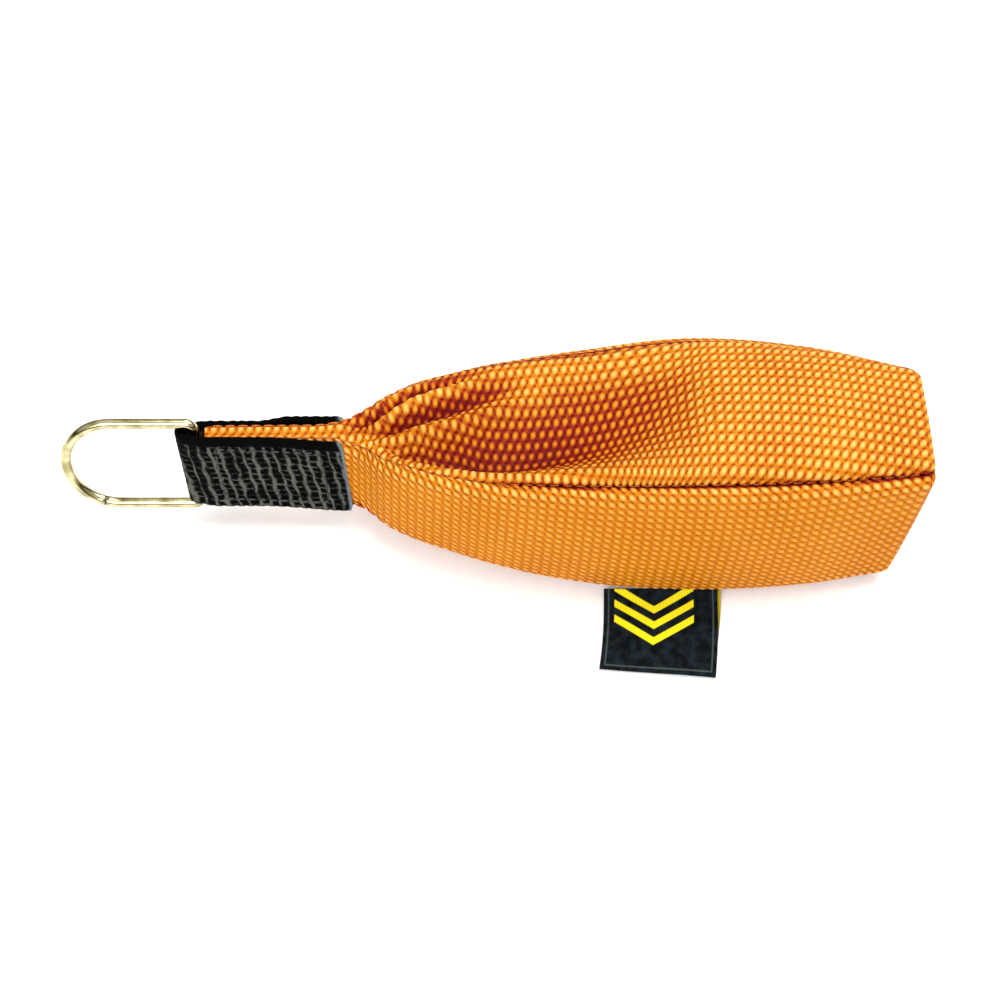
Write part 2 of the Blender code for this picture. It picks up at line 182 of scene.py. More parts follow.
# The shot's own sack, tied inside the bag: shares of the bag's length, and how far its mouth is drawn in.
LINER_SKIN = 2.2
LINER_CLOTH = 0.5
LINER_SPAN = (0.345, 0.37, 0.47, 0.983)
LINER_MOUTH = 0.28
TIE_AT = 0.357
TIE_CORD = 1.0
SHOT_SPAN = (0.45, 0.972)


def smooth_at(knots, values, t):
    """A cubic Hermite curve through the values at the knots, its slopes the mean slopes there."""
    knots = np.asarray(knots, dtype=float)
    values = np.asarray(values, dtype=float)
    slopes = np.gradient(values, knots)
    slopes[:2] = (values[1] - values[0]) / (knots[1] - knots[0])
    t = np.clip(np.asarray(t, dtype=float), knots[0], knots[-1])
    span = np.clip(np.searchsorted(knots, t, side="right") - 1, 0, len(knots) - 2)
    width = knots[span + 1] - knots[span]
    f = (t - knots[span]) / width
    return (
        (1 + 2 * f) * (1 - f) ** 2 * values[span]
        + f * (1 - f) ** 2 * width * slopes[span]
        + f * f * (3 - 2 * f) * values[span + 1]
        + f * f * (f - 1) * width * slopes[span + 1]
    )


KNOTS = (np.array(UPPER_X) - UPPER_X[0]) / LENGTH


def along(stations, t):
    """A value given at the eight cross-sections, read at t from 0 (neck) to 1 (base)."""
    return smooth_at(KNOTS, stations, t)


def path_value(path, x, column=1):
    """Reads a drawn line of (x, value, ...) points at x, smoothly, flat beyond its ends."""
    rows = np.array(path, dtype=float)
    return smooth_at(rows[:, 0], rows[:, column], x)


def seam_point(seam, t):
    """A point of a seam. The top two spread where the gathered cloth leaves the webbing."""
    point = np.stack([along(seam[axis], t) for axis in "xyz"], axis=-1)
    spread = {id(TOP_BACK): SPREAD_BACK, id(TOP_FRONT): SPREAD_FRONT}.get(id(seam))
    if spread is not None:
        point = point + path_value(spread, point[..., :1]) * SPREAD_DIRECTION
    return point


def section_frame(t):
    """The middle of a cross-section, its up and depth directions, and its half sizes along them."""
    corners = [seam_point(seam, t) for seam in SEAMS]
    middle = sum(corners) / 4
    up = (corners[0] + corners[3] - corners[1] - corners[2]) / 4 * (0, 1, 1)
    half_up = np.linalg.norm(up, axis=-1, keepdims=True)
    up = up / half_up
    depth = np.stack([np.zeros_like(up[..., 0]), up[..., 2], -up[..., 1]], axis=-1)
    across = (corners[2] + corners[3] - corners[0] - corners[1]) / 4
    half_depth = np.abs(np.sum(across * depth, axis=-1, keepdims=True))
    return middle, up, depth, half_up, half_depth


def inset(point, t, amount):
    """Moves points in towards the middle of their cross-section, by amount at the middle of each wall."""
    middle, up, depth, half_up, half_depth = section_frame(t)
    away = point - middle
    rise = np.sum(away * up, axis=-1, keepdims=True) * amount / half_up
    reach = np.sum(away * depth, axis=-1, keepdims=True) * amount / half_depth
    return point - up * rise - depth * reach


def gusset_fold(x, w, width, small=1.0, spread=1.0):
    """How far the top gusset is folded in at x, at the share w of its width from the front seam.

    The hollow is a skewed trough, (w/c)^k e^(k(1-w/c)), with its floor at c, steep towards the front seam and
    gentle towards the back one. Each small fold is a bell curve across its own line, counted small times
    and spread that much wider.
    """
    centre = path_value(HOLLOW_LINE, x)
    depth = np.where(x > HOLLOW_DEPTH[-1][0], 0.0, path_value(HOLLOW_DEPTH, x))
    ratio = np.maximum(w, 1e-6) / centre
    trough = (ratio * np.exp(1 - ratio)) ** np.where(ratio < 1, 4.0, 1.7) * (1 - w**5)
    total = depth * trough
    for fold_width, path in FOLDS:
        line = path_value(path, x, 1)
        size = path_value(path, x, 2)
        inside = (x > path[0][0]) & (x < path[-1][0])
        off = (w - line) * width / (fold_width * spread)
        total = total + np.where(inside, size * small, 0.0) * np.exp(-off * off)
    return total


def groove(distance, reach):
    """1 at a seam, falling to 0 at reach away, as a quarter circle does: 1 - sqrt(1 - (1 - d/r)^2)."""
    near = np.clip(1 - distance / reach, 0.0, 1.0)
    return 1 - np.sqrt(np.maximum(1 - near * near, 0.0))


def wall_point(panel, t, v):
    """Outer face of a wall: chord between its seams, plus crown, less folds, rolled in at its seams."""
    index = PANELS.index(panel)
    start = seam_point(SEAMS[index], t)
    end = seam_point(SEAMS[(index + 1) % 4], t)
    chord = end - start
    width = np.linalg.norm(chord, axis=-1)
    outward = np.stack([np.zeros_like(width), chord[..., 2], -chord[..., 1]], axis=-1)
    outward = outward / np.linalg.norm(outward, axis=-1, keepdims=True)
    height = along(CROWN[panel], t) * 4 * v * (1 - v)
    if panel == "top_gusset":
        height = height - gusset_fold(start[..., 0], 1 - v, width)
    point = start + chord * v[..., None] + outward * height[..., None]
    point[..., 2] = np.maximum(point[..., 2], 0.0)
    middle = section_frame(t)[0]
    sink = along(SINK, t)
    roll = along(ROLL, t)
    shares = SINK_SHARE[index], SINK_SHARE[(index + 1) % 4]
    for seam, distance, share in ((start, v * width, shares[0]), (end, (1 - v) * width, shares[1])):
        inward = (middle - seam) * (0, 1, 1)
        inward = inward / np.linalg.norm(inward, axis=-1, keepdims=True)
        point = point + inward * (share * sink * groove(distance, roll))[..., None]
    return point + base_roll(point, (1 - t) * LENGTH)


def base_roll(point, distance):
    """The roll into the base seam, inwards from all sides and back from the base."""
    centre = sum(seam_point(seam, np.array(1.0)) for seam in SEAMS) / 4
    inward = (centre - point) * (0, 1, 1)
    inward = inward / np.maximum(np.linalg.norm(inward, axis=-1, keepdims=True), 1e-6)
    return (inward * BASE_SINK - (0.7 * BASE_SINK, 0, 0)) * groove(distance, BASE_ROLL)[..., None]


def base_point(a, b):
    """Outer face of the base: a Coons patch between the four wall ends, crowned, rolled in at its seam."""
    one = np.ones_like(a)
    front = wall_point("front_panel", one, b)
    back = wall_point("back_panel", one, 1 - b)
    top = wall_point("top_gusset", one, 1 - a)
    bottom = wall_point("bottom_gusset", one, a)
    zero = np.zeros_like(a)
    corner = [wall_point(panel, one, zero) for panel in PANELS]
    a3 = a[..., None]
    b3 = b[..., None]
    sides = front * (1 - a3) + back * a3 + top * (1 - b3) + bottom * b3
    flat = (corner[0] * (1 - b3) + corner[1] * b3) * (1 - a3) + (corner[3] * (1 - b3) + corner[2] * b3) * a3
    point = sides - flat
    edge = np.minimum(np.minimum(a, 1 - a), np.minimum(b, 1 - b)) * BASE_BREADTH
    point[..., 0] += 0.7 * BASE_SINK * (1 - groove(edge, BASE_ROLL))
    point[..., 0] += 16 * BASE_CROWN * a * (1 - a) * b * (1 - b)
    return point


# --- Surfaces and meshes ---
def unit(vectors):
    return vectors / np.maximum(np.linalg.norm(vectors, axis=-1, keepdims=True), 1e-9)


def ease(value, start, end):
    """0 at start, 1 at end, with level ends: 3f^2 - 2f^3."""
    f = np.clip((value - start) / (end - start), 0.0, 1.0)
    return f * f * (3 - 2 * f)


def normals(point):
    """Unit normals of a grid of points: the cross product of its two directions."""
    return unit(np.cross(np.gradient(point, axis=0), np.gradient(point, axis=1)))


def run_length(line):
    """Distance along a line of points from its first one."""
    return np.concatenate([[0.0], np.cumsum(np.linalg.norm(np.diff(line, axis=0), axis=-1))])


def cloth_map(point):
    """Where each point of a grid lies in the flat cloth: distance along its middle, and across from it."""
    step = np.linalg.norm(np.diff(point, axis=1), axis=-1)
    across = np.concatenate([np.zeros((len(point), 1)), np.cumsum(step, axis=1)], axis=1)
    middle = point.shape[1] // 2
    across = across - across[:, middle : middle + 1]
    return run_length(point[:, middle])[:, None] + np.zeros_like(across), across


def quads(rows, columns, start=0, flip=False, wrap_rows=False, wrap_columns=False):
    """The four-sided faces of a grid of points; a wrapped direction closes on itself."""
    i, j = np.indices((rows - (not wrap_rows), columns - (not wrap_columns))).reshape(2, -1)
    here, after, beside = i * columns, (i + 1) % rows * columns, (j + 1) % columns
    found = np.stack([here + j, here + beside, after + beside, after + j], axis=-1)
    return start + (found[:, ::-1] if flip else found)


def border(rows, columns, start=0):
    """Indices once round a grid's edge."""
    grid = start + np.arange(rows * columns).reshape(rows, columns)
    return np.concatenate([grid[0, :], grid[1:, -1], grid[-1, -2::-1], grid[-2:0:-1, 0]])


def stitch_borders(fine, coarse, ratio):
    """Joins a fine edge to a coarse one that has one point for every ratio of the fine one's."""
    after = np.roll(fine, -1)
    fans = np.stack([fine, np.repeat(coarse, ratio), after], axis=-1)
    webs = np.stack([after[ratio - 1 :: ratio], coarse, np.roll(coarse, -1)], axis=-1)
    return np.concatenate([fans, webs])


def make_mesh(name, points, faces, material, attributes=None, uv=None, yarns=None):
    """A mesh object from arrays in millimetres: faces is a list of index arrays, one for each polygon size.

    uv is its flat cloth in millimetres, and yarns the number of each yarn there, counted along the two yarns.
    """
    mesh = bpy.data.meshes.new(name)
    points = np.asarray(points, dtype=float).reshape(-1, 3)
    loops = np.concatenate([part.ravel() for part in faces]).astype(np.int32)
    sizes = np.concatenate([np.full(len(part), part.shape[1]) for part in faces])
    starts = np.concatenate([[0], np.cumsum(sizes)[:-1]]).astype(np.int32)
    mesh.vertices.add(len(points))
    mesh.vertices.foreach_set("co", (points * MM).astype(np.float32).ravel())
    mesh.loops.add(len(loops))
    mesh.loops.foreach_set("vertex_index", loops)
    mesh.polygons.add(len(sizes))
    mesh.polygons.foreach_set("loop_start", starts)
    mesh.polygons.foreach_set("use_smooth", np.ones(len(sizes), dtype=bool))
    mesh.update(calc_edges=True)
    for label, values in (attributes or {}).items():
        layer = mesh.attributes.new(label, "FLOAT", "POINT")
        layer.data.foreach_set("value", np.asarray(values, dtype=np.float32).ravel())
    for label, values, scale in (("cloth", uv, MM), ("yarns", yarns, 1.0)):
        if values is not None:
            flat = (np.asarray(values).reshape(-1, 2) * scale).astype(np.float32)[loops]
            mesh.uv_layers.new(name=label).data.foreach_set("uv", flat.ravel())
    if mesh.validate():
        raise RuntimeError(f"{name} has faces that Blender had to mend")
    mesh.materials.append(material)
    piece = bpy.data.objects.new(name, mesh)
    bpy.context.scene.collection.objects.link(piece)
    return piece


def sheet_mesh(name, front, back, ratio, material, attributes, uv, yarns=None):
    """A closed sheet: a fine grid in front, a grid ratio times coarser behind, joined all round their edges.

    Attributes and the maps are given for the front grid, and the back takes every ratio-th value of them.
    """
    rows, columns = front.shape[:2]
    small_rows, small_columns = back.shape[:2]
    count = rows * columns
    faces = [
        quads(rows, columns),
        quads(small_rows, small_columns, count, flip=True),
        stitch_borders(border(rows, columns), border(small_rows, small_columns, count), ratio),
    ]
    points = np.concatenate([front.reshape(-1, 3), back.reshape(-1, 3)])

    def both(grid):
        thin = grid[::ratio, ::ratio]
        return np.concatenate([grid.reshape(count, -1), thin.reshape(small_rows * small_columns, -1)])

    attributes = {key: both(grid) for key, grid in attributes.items()}
    yarns = None if yarns is None else both(yarns)
    return make_mesh(name, points, faces, material, attributes, both(uv), yarns)


def tube(path, side, radius, around):
    """A closed tube: a circle at each point of a closed path, spanned by side and by side x its direction.

    Returns its grid of points and its map (distance along, distance round).
    """
    direction = unit(np.roll(path, -1, axis=0) - np.roll(path, 1, axis=0))
    side = unit(side - direction * np.sum(side * direction, axis=-1, keepdims=True))
    other = np.cross(side, direction)
    angle = np.linspace(0, 2 * np.pi, around, endpoint=False)
    reach = (np.zeros(len(path)) + radius)[:, None, None]
    ring = side[:, None] * np.cos(angle)[:, None] + other[:, None] * np.sin(angle)[:, None]
    u, v = np.meshgrid(run_length(path), angle * np.mean(radius), indexing="ij")
    return path[:, None] + ring * reach, np.stack([u, v], axis=-1)


STITCH_PROFILE = ((0.0, 0.0), (0.1, 0.72), (0.5, 1.0), (0.9, 0.72), (1.0, 0.0))
STITCH_SIDES = 6
STITCH_LIFT = 0.35


def stitch_row(name, start, end, up, radius, material):
    """A row of separate stitches, each a small spindle of thread from start to end.

    The spindle's radius follows STITCH_PROFILE along it, and its middle stands up out of the cloth a little.
    """
    place = np.array([p for p, r in STITCH_PROFILE[1:-1]])
    size = np.array([r for p, r in STITCH_PROFILE[1:-1]])
    direction = end - start
    side = unit(np.cross(direction, up))
    lift = unit(np.cross(side, direction))
    angle = np.linspace(0, 2 * np.pi, STITCH_SIDES, endpoint=False)
    ring = side[:, None] * np.cos(angle)[:, None] + lift[:, None] * np.sin(angle)[:, None]
    middle = start[:, None] + direction[:, None] * place[:, None]
    middle = middle + lift[:, None] * (size[:, None] * radius * STITCH_LIFT)
    body = middle[:, :, None] + ring[:, None] * (size[:, None, None] * radius)
    points = np.concatenate([start[:, None], body.reshape(len(start), -1, 3), end[:, None]], axis=1)
    tip = len(place) * STITCH_SIDES + 1
    first = np.arange(STITCH_SIDES)
    beside = (first + 1) % STITCH_SIDES
    near = np.stack([0 * first, 1 + first, 1 + beside], axis=-1)
    far = np.stack([0 * first + tip, tip - STITCH_SIDES + beside, tip - STITCH_SIDES + first], axis=-1)
    caps = np.concatenate([near, far])
    walls = quads(len(place), STITCH_SIDES, 1, flip=True, wrap_columns=True)
    steps = np.arange(len(start))[:, None, None] * points.shape[1]
    faces = [(walls + steps).reshape(-1, 4), (caps + steps).reshape(-1, 3)]
    length = np.linalg.norm(direction, axis=-1, keepdims=True)
    u = np.concatenate([[0.0], np.repeat(place, STITCH_SIDES), [1.0]]) * length
    v = np.concatenate([[0.0], np.tile(angle, len(place)), [0.0]]) * radius + 0 * length
    return make_mesh(name, points, faces, material, uv=np.stack([u, v], axis=-1))


def along_line(line, distance):
    """Points at given distances along a line of points."""
    run = run_length(line)
    return np.stack([np.interp(distance, run, line[:, axis]) for axis in range(3)], axis=-1)


# --- Materials ---
def linear(code):
    """An sRGB hex colour such as "ff8800" as a linear RGBA value."""
    channels = [int(code[i : i + 2], 16) / 255 for i in (0, 2, 4)]
    return (*[c / 12.92 if c <= 0.04045 else ((c + 0.055) / 1.055) ** 2.4 for c in channels], 1.0)


def node(tree, kind, out=0, settings=None, **inputs):
    """Adds a shader node with its settings, and returns its output out, given by name or place.

    Each input takes a value or another node's output. It is named as the node names it, with _ for a space,
    or is _0, _1 ... by its place. The setting "stops" holds a colour ramp's (place, colour) pairs.
    """
    made = tree.nodes.new("ShaderNode" + kind)
    for key, value in (settings or {}).items():
        if key == "stops":
            for index, (place, colour) in enumerate(value):
                stop = made.color_ramp.elements[index] if index < 2 else made.color_ramp.elements.new(place)
                stop.position = place
                stop.color = colour
        else:
            setattr(made, key, value)
    for key, value in inputs.items():
        socket = made.inputs[int(key[1:]) if key[0] == "_" else key.replace("_", " ")]
        if isinstance(value, bpy.types.NodeSocket):
            tree.links.new(value, socket)
        else:
            socket.default_value = value
    return made.outputs[out]


def finish_of(name, build, **constants):
    """The material of that name, built the first time.

    build(tree) gives the outputs for its colour, roughness and normal. Every other value is the same all over
    and is set on the shader itself.
    """
    material = bpy.data.materials.get(name)
    if material is None:
        material = bpy.data.materials.new(name)
        material.use_nodes = True
        tree = material.node_tree
        shader = tree.nodes["Principled BSDF"]
        for socket, source in build(tree).items():
            tree.links.new(source, shader.inputs[socket])
        for socket, value in constants.items():
            shader.inputs[socket.replace("_", " ")].default_value = value
    return material


FLAT = {"noise_dimensions": "2D"}
BLEND = {"data_type": "RGBA"}
CLOTH = {"uv_map": "cloth"}
MIXED = 2


# The weave, worked out where it is seen as plain_weave does: a row is (name, what is done, with what).
YARN_STEPS = (
    ("i", "ROUND", "a"),
    ("j", "ROUND", "b"),
    ("off_weft", "SUBTRACT", "a", "i"),
    ("off_warp", "SUBTRACT", "b", "j"),
    ("warp_phase", "ADD", "a", "j"),
    ("weft_phase", "ADD", "b", "i"),
    ("warp_turn", "MULTIPLY", "warp_phase", math.pi),
    ("weft_turn", "MULTIPLY", "weft_phase", math.pi),
    ("warp_wave", "COSINE", "warp_turn"),
    ("weft_wave", "COSINE", "weft_turn"),
    ("warp_side", "MULTIPLY", "off_warp", 2.8),
    ("weft_side", "MULTIPLY", "off_weft", 2.7),
    ("warp_square", "MULTIPLY", "warp_side", "warp_side"),
    ("weft_square", "MULTIPLY", "weft_side", "weft_side"),
    ("warp_left", "SUBTRACT", 1.0, "warp_square"),
    ("weft_left", "SUBTRACT", 1.0, "weft_square"),
    ("warp_room", "MAXIMUM", "warp_left", 0.0),
    ("weft_room", "MAXIMUM", "weft_left", 0.0),
    ("warp_round", "SQRT", "warp_room"),
    ("weft_round", "SQRT", "weft_room"),
    ("warp_rise", "MULTIPLY", "warp_wave", 0.52),
    ("warp_height", "MULTIPLY_ADD", "warp_round", 1.05, "warp_rise"),
    ("weft_rise", "MULTIPLY_ADD", "weft_wave", -0.38, -0.42),
    ("weft_height", "MULTIPLY_ADD", "weft_round", 0.85, "weft_rise"),
    ("over", "MAXIMUM", "warp_height", "weft_height"),
    ("height", "MAXIMUM", "over", -0.5),
    ("warp_over", "GREATER_THAN", "warp_height", "weft_height"),
    # A yarn's height sets its place on the colour ramp: painted shade low in the weave, painted highlight on
    # the crowns.
    ("share", "MULTIPLY_ADD", "height", 0.40, 0.24),
    ("worn", "MULTIPLY_ADD", "grain", 0.22, "share"),
    ("drift", "MULTIPLY_ADD", "broad", 0.16, "worn"),
    ("cloth", "SUBTRACT", "drift", 0.19),
    # Warp floats are lightened over weft floats: a painted sheen on the yarns that catch the light.
    ("plain", "MULTIPLY_ADD", "warp_over", 0.1, "cloth"),
    # On the front and back walls the painted highlight and shade are drawn in towards the middle tone.
    ("off_even", "SUBTRACT", "plain", 0.58),
    ("even", "MULTIPLY_ADD", "off_even", "contrast", 0.58),
    # Painted shade: the weave darkens in the top gusset's hollow and small folds.
    ("sunk", "MULTIPLY_ADD", "hollow", -0.40, "even"),
    # Painted shade darkens the weave in the seams' grooves.
    ("shade", "MULTIPLY_ADD", "seam", -0.9, "sunk"),
)


def ballistic_nylon(colours):
    """Ballistic nylon: thick filament yarns, orange, with a painted highlight where they crown and painted
    shade, saturated brown-red, down in the weave.

    Its filaments are 0.02 mm across; they are drawn 0.3 mm apart, as coarse as they need to be to show.
    """

    def build(tree):
        place = node(tree, "UVMap", settings=CLOTH)
        yarns = node(tree, "UVMap", settings={"uv_map": "yarns"})
        made = {}
        for label, axis in (("a", "X"), ("b", "Y")):
            made[label] = node(tree, "SeparateXYZ", axis, Vector=yarns)
        for label in ("hollow", "seam", "contrast"):
            made[label] = node(tree, "Attribute", "Fac", {"attribute_name": label})
        for label, scale in (("grain", 1100.0), ("broad", 70.0)):
            made[label] = node(tree, "TexNoise", "Fac", FLAT, Vector=place, Scale=scale, Detail=3.0)
        for label, operation, *inputs in YARN_STEPS:
            values = {f"_{index}": made.get(value, value) for index, value in enumerate(inputs)}
            made[label] = node(tree, "Math", 0, {"operation": operation}, **values)
        # From painted shade down between the yarns, through the yarns' own orange, to a painted highlight on
        # their crowns.
        stops = (
            (0.0, colours.yarn_gap_shade),
            (0.2, linear("7e1400")),
            (0.38, linear("9e4a00")),
            (0.62, colours.yarn_side),
            (0.95, colours.yarn_crown_highlight),
        )
        colour = node(tree, "ValToRGB", 0, {"stops": stops}, Fac=made["shade"])
        quarter = math.pi / 4
        turn = node(tree, "MapRange", Value=made["warp_over"], To_Min=-quarter, To_Max=quarter)
        turned = node(tree, "VectorRotate", 0, {"rotation_type": "Z_AXIS"}, Vector=place, Angle=turn)
        rows = {"bands_direction": "Y"}
        lines = node(tree, "TexWave", "Fac", rows, Vector=turned, Scale=1050.0, Distortion=3.0, Detail=2.0)
        fine = node(tree, "Bump", Strength=0.3, Distance=0.00005, Height=lines)
        raised = node(tree, "Bump", Strength=0.8, Distance=0.00016, Height=made["height"], Normal=fine)
        return {"Base Color": colour, "Normal": raised}

    return finish_of("ballistic_nylon", build, Roughness=0.6, Specular_IOR_Level=0.12)


def polyester_webbing(colours):
    """Woven polyester webbing: matt black, greyer where its ribs are rubbed, with a painted highlight on the
    rib crowns and painted black shade between them, sealed pale where hot-cut.
    """

    def build(tree):
        height = node(tree, "Attribute", "Fac", {"attribute_name": "weave"})
        sealed = node(tree, "Attribute", "Fac", {"attribute_name": "sealed"})
        place = node(tree, "UVMap", settings=CLOTH)
        grain = node(tree, "TexNoise", "Fac", FLAT, Vector=place, Scale=1500.0, Detail=4.0)
        broad = node(tree, "TexNoise", "Fac", FLAT, Vector=place, Scale=220.0, Detail=3.0)
        fuzzy = node(tree, "Math", 0, {"operation": "MULTIPLY_ADD"}, _0=grain, _1=0.5, _2=height)
        rubbed_and_lit = node(tree, "Math", 0, {"operation": "MULTIPLY_ADD"}, _0=broad, _1=0.6, _2=fuzzy)
        shade = node(tree, "Math", 0, {"operation": "SUBTRACT"}, _0=rubbed_and_lit, _1=0.55)
        # The ramp is black in the gaps, painted shade, and greyer on the crowns, a painted highlight together
        # with wear.
        stops = ((0.48, linear("000000")), (0.76, linear("101010")), (1.0, colours.webbing))
        colour = node(tree, "ValToRGB", 0, {"stops": stops}, Fac=shade)
        melted = node(tree, "Math", 0, {"operation": "MULTIPLY"}, _0=sealed, _1=broad)
        cut = node(tree, "Mix", MIXED, BLEND, _0=melted, _6=colour, _7=colours.sealed_edge)
        bump = node(tree, "Bump", Strength=0.5, Distance=0.00008, Height=grain)
        return {"Base Color": cut, "Normal": bump}

    return finish_of("polyester_webbing", build, Roughness=0.75, Specular_IOR_Level=0.04)


def plated_wire(colours):
    """Yellow-passivated zinc on drawn steel wire: bright pale gold, with faint die lines and a dull weld."""

    def build(tree):
        place = node(tree, "UVMap", settings=CLOTH)
        weld = node(tree, "Attribute", "Fac", {"attribute_name": "weld"})
        drawn = node(tree, "Mapping", Vector=place, Scale=(60.0, 2200.0, 1.0))
        lines = node(tree, "TexNoise", "Fac", FLAT, Vector=drawn, Scale=1.0, Detail=3.0)
        cloud = node(tree, "TexNoise", "Fac", FLAT, Vector=place, Scale=240.0, Detail=4.0)
        stops = ((0.25, linear("8f8352")), (0.6, colours.plating))
        tint = node(tree, "ValToRGB", 0, {"stops": stops}, Fac=cloud)
        burnt = node(tree, "Mix", MIXED, BLEND, _0=weld, _6=tint, _7=linear("4f4733"))
        gloss = node(tree, "MapRange", Value=lines, To_Min=0.08, To_Max=0.22)
        bump = node(tree, "Bump", Strength=0.08, Distance=0.00004, Height=lines)
        return {"Base Color": burnt, "Roughness": gloss, "Normal": bump}

    return finish_of("zinc_plated_wire", build, Metallic=1.0)


def bonded_thread(name, light, dark):
    """Bonded polyester thread: plies twisted together, seen as fine slanting bands with a slight gloss."""

    def build(tree):
        place = node(tree, "UVMap", settings=CLOTH)
        turned = node(tree, "VectorRotate", 0, {"rotation_type": "Z_AXIS"}, Vector=place, Angle=0.7)
        plies = node(tree, "TexWave", "Fac", Vector=turned, Scale=600.0, Distortion=0.6)
        colour = node(tree, "ValToRGB", 0, {"stops": ((0.1, dark), (0.8, light))}, Fac=plies)
        bump = node(tree, "Bump", Strength=0.6, Distance=0.00008, Height=plies)
        return {"Base Color": colour, "Normal": bump}

    return finish_of(name, build, Roughness=0.45)


def damask_label(colours):
    """Damask-woven label tape: black satin with a faint blue cast, its mark in yellow weft floats."""

    def build(tree):
        place = node(tree, "UVMap", settings=CLOTH)
        mark = node(tree, "Attribute", "Fac", {"attribute_name": "mark"})
        rim = node(tree, "Attribute", "Fac", {"attribute_name": "rim"})
        rows = {"bands_direction": "Y"}
        weft = node(tree, "TexWave", "Fac", rows, Vector=place, Scale=900.0, Distortion=1.5)
        grain = node(tree, "TexNoise", "Fac", FLAT, Vector=place, Scale=450.0, Detail=5.0)
        dark = ((0.35, colours.label_ground), (0.7, linear("151f26")))
        pale = ((0.0, linear("c9b81a")), (0.6, colours.label_mark))
        ground = node(tree, "ValToRGB", 0, {"stops": dark}, Fac=grain)
        floats = node(tree, "ValToRGB", 0, {"stops": pale}, Fac=weft)
        drawn = node(tree, "Mix", MIXED, BLEND, _0=mark, _6=ground, _7=floats)
        edged = node(tree, "Mix", MIXED, BLEND, _0=rim, _6=drawn, _7=linear("4a5350"))
        bump = node(tree, "Bump", Strength=0.45, Distance=0.00005, Height=weft)
        return {"Base Color": edged, "Normal": bump}

    return finish_of("damask_label", build, Roughness=0.7, Specular_IOR_Level=0.05)


def mottled(name, scale, detail, stops, bump, **constants):
    """A material whose one fine mottle, over Object coordinates, tints it and roughens it by bump."""

    def build(tree):
        place = node(tree, "TexCoord", "Object")
        mottle = node(tree, "TexNoise", "Fac", Vector=place, Scale=scale, Detail=detail)
        made = {"Base Color": node(tree, "ValToRGB", 0, {"stops": stops}, Fac=mottle)}
        if bump:
            made["Normal"] = node(tree, "Bump", Strength=bump, Distance=0.0001, Height=mottle)
        return made

    return finish_of(name, build, **constants)


def cotton_sacking(colours):
    """Unbleached cotton sacking: a dull, fine plain weave with darker slubs."""
    stops = ((0.3, linear("9b937f")), (0.7, colours.sacking))
    return mottled("cotton_sacking", 600.0, 4.0, stops, 0.5, Roughness=0.85, Sheen_Weight=0.2)


def cast_shot(colours):
    """Cast steel shot: dull grey, with a slightly pitted skin."""
    stops = ((0.3, linear("4b4c4f")), (0.7, colours.shot))
    return mottled("cast_steel_shot", 900.0, 3.0, stops, 0.3, Metallic=1.0, Roughness=0.42)


def matt_paper(colours):
    """Matt paper for the floor: pale, with a very faint fibre mottle."""
    stops = ((0.2, linear("f6f6f4")), (0.8, colours.floor))
    return mottled("matt_paper", 300.0, 3.0, stops, 0.0, Roughness=0.9)


# --- The pieces ---
WALL_GRID = (601, 145)
BASE_GRID = (129, 129)
# A wall's inner face has one point for every COARSE of its outer one's, and meets it at the seams.
COARSE = 4
INNER_FACE = 0.1
INNER_SPAN = 2.5
INNER_FLOOR = 0.15
# The fill swells each wall between its seams: how far, and from where to where off the seam.
SWELL = 0.8
SWELL_SPAN = (1.0, 2.6)
# The weave's middle height in shares of its relief, how soon it fades at a seam, and how the seam pinches it.
WEAVE_MIDDLE = 0.55
WEAVE_FADE = 0.45
SEAM_PINCH = 0.15
# Which way the warp leans on each wall, and how the bias cut stretches the weave along and across it.
WARP_LEAN = {"front_panel": 1, "top_gusset": -1, "back_panel": 1, "bottom_gusset": -1, "base_panel": 1}
BIAS_STRETCH = {
    "front_panel": (1.07, 0.84, 0.92),
    "top_gusset": (1.02, 1.30, 1.30),
    "back_panel": (1.07, 0.84, 0.92),
    "bottom_gusset": (1.02, 1.2, 1.2),
    "base_panel": (1.0, 1.0, 1.0),
}
# Gathering pulls the top gusset's weave askew on its neck side of SKEW_SPAN.
SKEW_SPAN = (-20.0, 5.0)
SKEW = 0.33
# The front and back walls show the weave's painted highlight and shade this much more faintly, away from their
# seams, to paint their softer light.
FAINT_WEAVE = 0.5
FAINT_WEAVE_SPAN = (1.5, 6.0)
# Painted shade darkens the weave this far into a seam. The top front seam is a ridge on the neck side of
# OPEN_SEAM, and the other seams of the two walls beside it get a softer painted shade.
SEAM_REACH = 1.5
OPEN_SEAM = (-46.0, -28.0)
SOFT_SEAM = 0.4
# The depths at which the top gusset's hollow and small folds get their full painted shade, and where the
# hollow's painted shade
# ends: shares of the width from the front seam, and x towards the base.
HOLLOW_FULL = 9.0
HOLLOW_BACK = (0.62, 0.90)
HOLLOW_BASE = (2.5, 7.0)
FOLD_FULL = 2.0
FOLD_SHIFT = 0.03
FOLD_SPREAD = 1.5


def put(piece, body, slot, *nodes):
    """Sets a piece into the model: it rides on a body and stands for the nodes named. Its slot is not used."""
    low, high = (np.array(corner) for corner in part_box(nodes[0]))
    for node_name in nodes[1:]:
        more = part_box(node_name)
        low, high = np.minimum(low, more[0]), np.maximum(high, more[1])
    points = np.array([corner[:] for corner in piece.bound_box])
    miss = max(np.abs(points.min(axis=0) - low).max(), np.abs(points.max(axis=0) - high).max())
    if miss > 0.012:
        raise RuntimeError(f"{piece.name} lies {miss / MM:.1f} mm from where the model has it")
    if body:
        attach(piece, body)
    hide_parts(*nodes)


